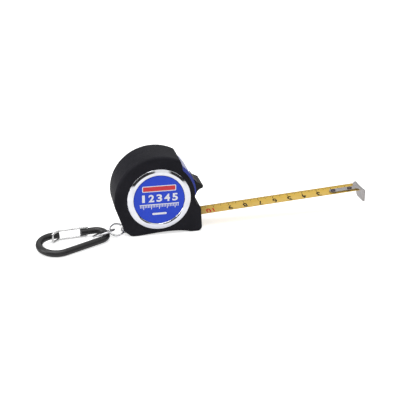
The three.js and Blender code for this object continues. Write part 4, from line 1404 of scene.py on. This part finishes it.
def bent_rod():
    bm = bmesh.new()
    bmesh.ops.create_circle(bm, radius=ROD, segments=36)
    turn(bm, QUARTER, "Y")
    turn(bm, -TAPER, "Z")
    shift(bm, (NOSE_PLACE, side_at(NOSE_PLACE), 0))
    nose = ring = bm.edges[:]

    def run_to(ring, x, y):
        middle_now = sum((vertex.co for edge in ring for vertex in edge.verts), Vector()) / (2 * len(ring))
        made = bmesh.ops.extrude_edge_only(bm, edges=ring)["geom"]
        moved = of_kind(BMVert, made)
        bmesh.ops.translate(bm, vec=Vector((x, y, 0)) - middle_now, verts=moved)
        return [edge for edge in of_kind(BMEdge, made) if all(v in moved for v in edge.verts)]

    def bend(ring, centre, degrees):
        made = bmesh.ops.spin(
            bm, geom=ring + list({v for edge in ring for v in edge.verts}), cent=(centre, 0, 0), axis=(0, 0, 1),
            angle=math.radians(degrees), steps=round(degrees / 3),
        )
        return of_kind(BMEdge, made["geom_last"])

    corner_x, corner_y = math.sin(TAPER), math.cos(TAPER)
    ring = run_to(ring, ENDS_APART - LARGE_END * corner_x, -LARGE_END * corner_y)
    ring = bend(ring, ENDS_APART, 180 + 2 * math.degrees(TAPER))
    ring = run_to(ring, -SMALL_END * corner_x, SMALL_END * corner_y)
    ring = bend(ring, 0, 180 - 2 * math.degrees(TAPER))
    ring = run_to(ring, PIVOT_PLACE + 2 * ROD, side_at(PIVOT_PLACE + 2 * ROD))
    for end in (nose, ring):
        bmesh.ops.contextual_create(bm, geom=end)
    face_outwards(bm)
    return bm


rod = bent_rod()
pin_hole = bmesh.new()
bmesh.ops.create_cone(
    pin_hole, cap_ends=True, segments=32, radius1=PIVOT_HOLE, radius2=PIVOT_HOLE, depth=3 * ROD,
)
shift(pin_hole, (PIVOT_PLACE, side_at(PIVOT_PLACE), 0))
rod = cut(rod, pin_hole)
lay(rod, CLIP_LINE)
rod = finish_piece(rod, "bent_carabiner", "carabiner_body", "carabiner", "carabiner", carabiner_paint)
soften(rod, 0.35, angle=50, segments=3)

# %% Bend the gate
GATE_WIRE = 0.7
GATE_REACH = 2.95
GATE_CORNER = 1.1
GATE_FOOT = 0.84
GATE_END = (25.4, -7.5)

gate_path = [Vector(point) for point in (
    (PIVOT_PLACE, side_at(PIVOT_PLACE), GATE_FOOT),
    (PIVOT_PLACE, side_at(PIVOT_PLACE), GATE_REACH),
    (NOSE_PLACE + 0.3, side_at(NOSE_PLACE + 0.3) + 0.1, GATE_REACH),
    (*GATE_END, GATE_REACH),
)]
gate_path += [Vector((point.x, point.y, -point.z)) for point in reversed(gate_path)]


def rounded(path, radius):
    """A path whose corners are eased by short curves."""
    points = [path[0]]
    for before, corner, after in zip(path, path[1:], path[2:]):
        enter = corner + (before - corner).normalized() * radius
        leave = corner + (after - corner).normalized() * radius
        points += interpolate_bezier(enter, enter.lerp(corner, 0.6), leave.lerp(corner, 0.6), leave, 6)
    return points + [path[-1]]


def wire_along(points, radius, name):
    """A round wire through points."""
    curve = bpy.data.curves.new(name, "CURVE")
    curve.dimensions = "3D"
    curve.bevel_depth = radius
    curve.bevel_resolution = 5
    curve.use_fill_caps = True
    spline = curve.splines.new("POLY")
    spline.points.add(len(points) - 1)
    for point, place in zip(spline.points, points):
        point.co = (*place, 1)
    bm = drawing_of(add_object(name, curve))
    face_outwards(bm)
    return bm


gate = wire_along(rounded(gate_path, GATE_CORNER), GATE_WIRE, "gate_wire_line")
lay(gate, CLIP_LINE)
finish_piece(gate, "wire_gate", "carabiner_gate", "gate", "gate", bright_wire)

# %% [markdown]
# ## The floor
#
# White paper holds the object up. It is a stage, so it isn't part of the object. To the camera it also glows,
# so that it reads as plain white and only the shadow close under the object stays. A fainter glow for mirror
# rays keeps the underside of the chrome and the wire from going dark.

# %% Lay the paper
PAPER_SIZE = 1.5
PAPER_GLOW = 0.64
MIRRORED_GLOW = 0.16
paper = bmesh.new()
bmesh.ops.create_grid(paper, x_segments=1, y_segments=1, size=PAPER_SIZE)
floor = as_object(paper, "floor")
floor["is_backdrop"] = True
white_paper = Finish("white_paper", Roughness=0.9)
white_paper.set("Base Color", grey(0.85))
white_paper.set("Emission Color", grey(1))
rays = add_node(white_paper.tree, "LightPath").outputs
mirrored = maths(white_paper.tree, "MULTIPLY", rays["Is Glossy Ray"], MIRRORED_GLOW)
glow = maths(white_paper.tree, "MULTIPLY_ADD", rays["Is Camera Ray"], PAPER_GLOW, mirrored)
white_paper.set("Emission Strength", glow)
floor.data.materials.append(white_paper.material)

# %% [markdown]
# ## The size of the result
#
# The dressed object has to stay the size of the solid model, so both boxes are printed side by side.

# %% Write the sizes and finish
dressed_box = [list(corner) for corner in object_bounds()]
for name, plain, dressed in zip("xyz", zip(*cad_box), zip(*dressed_box)):
    print(name, [round(value / MM, 2) for value in plain], "became", [round(value / MM, 2) for value in dressed])
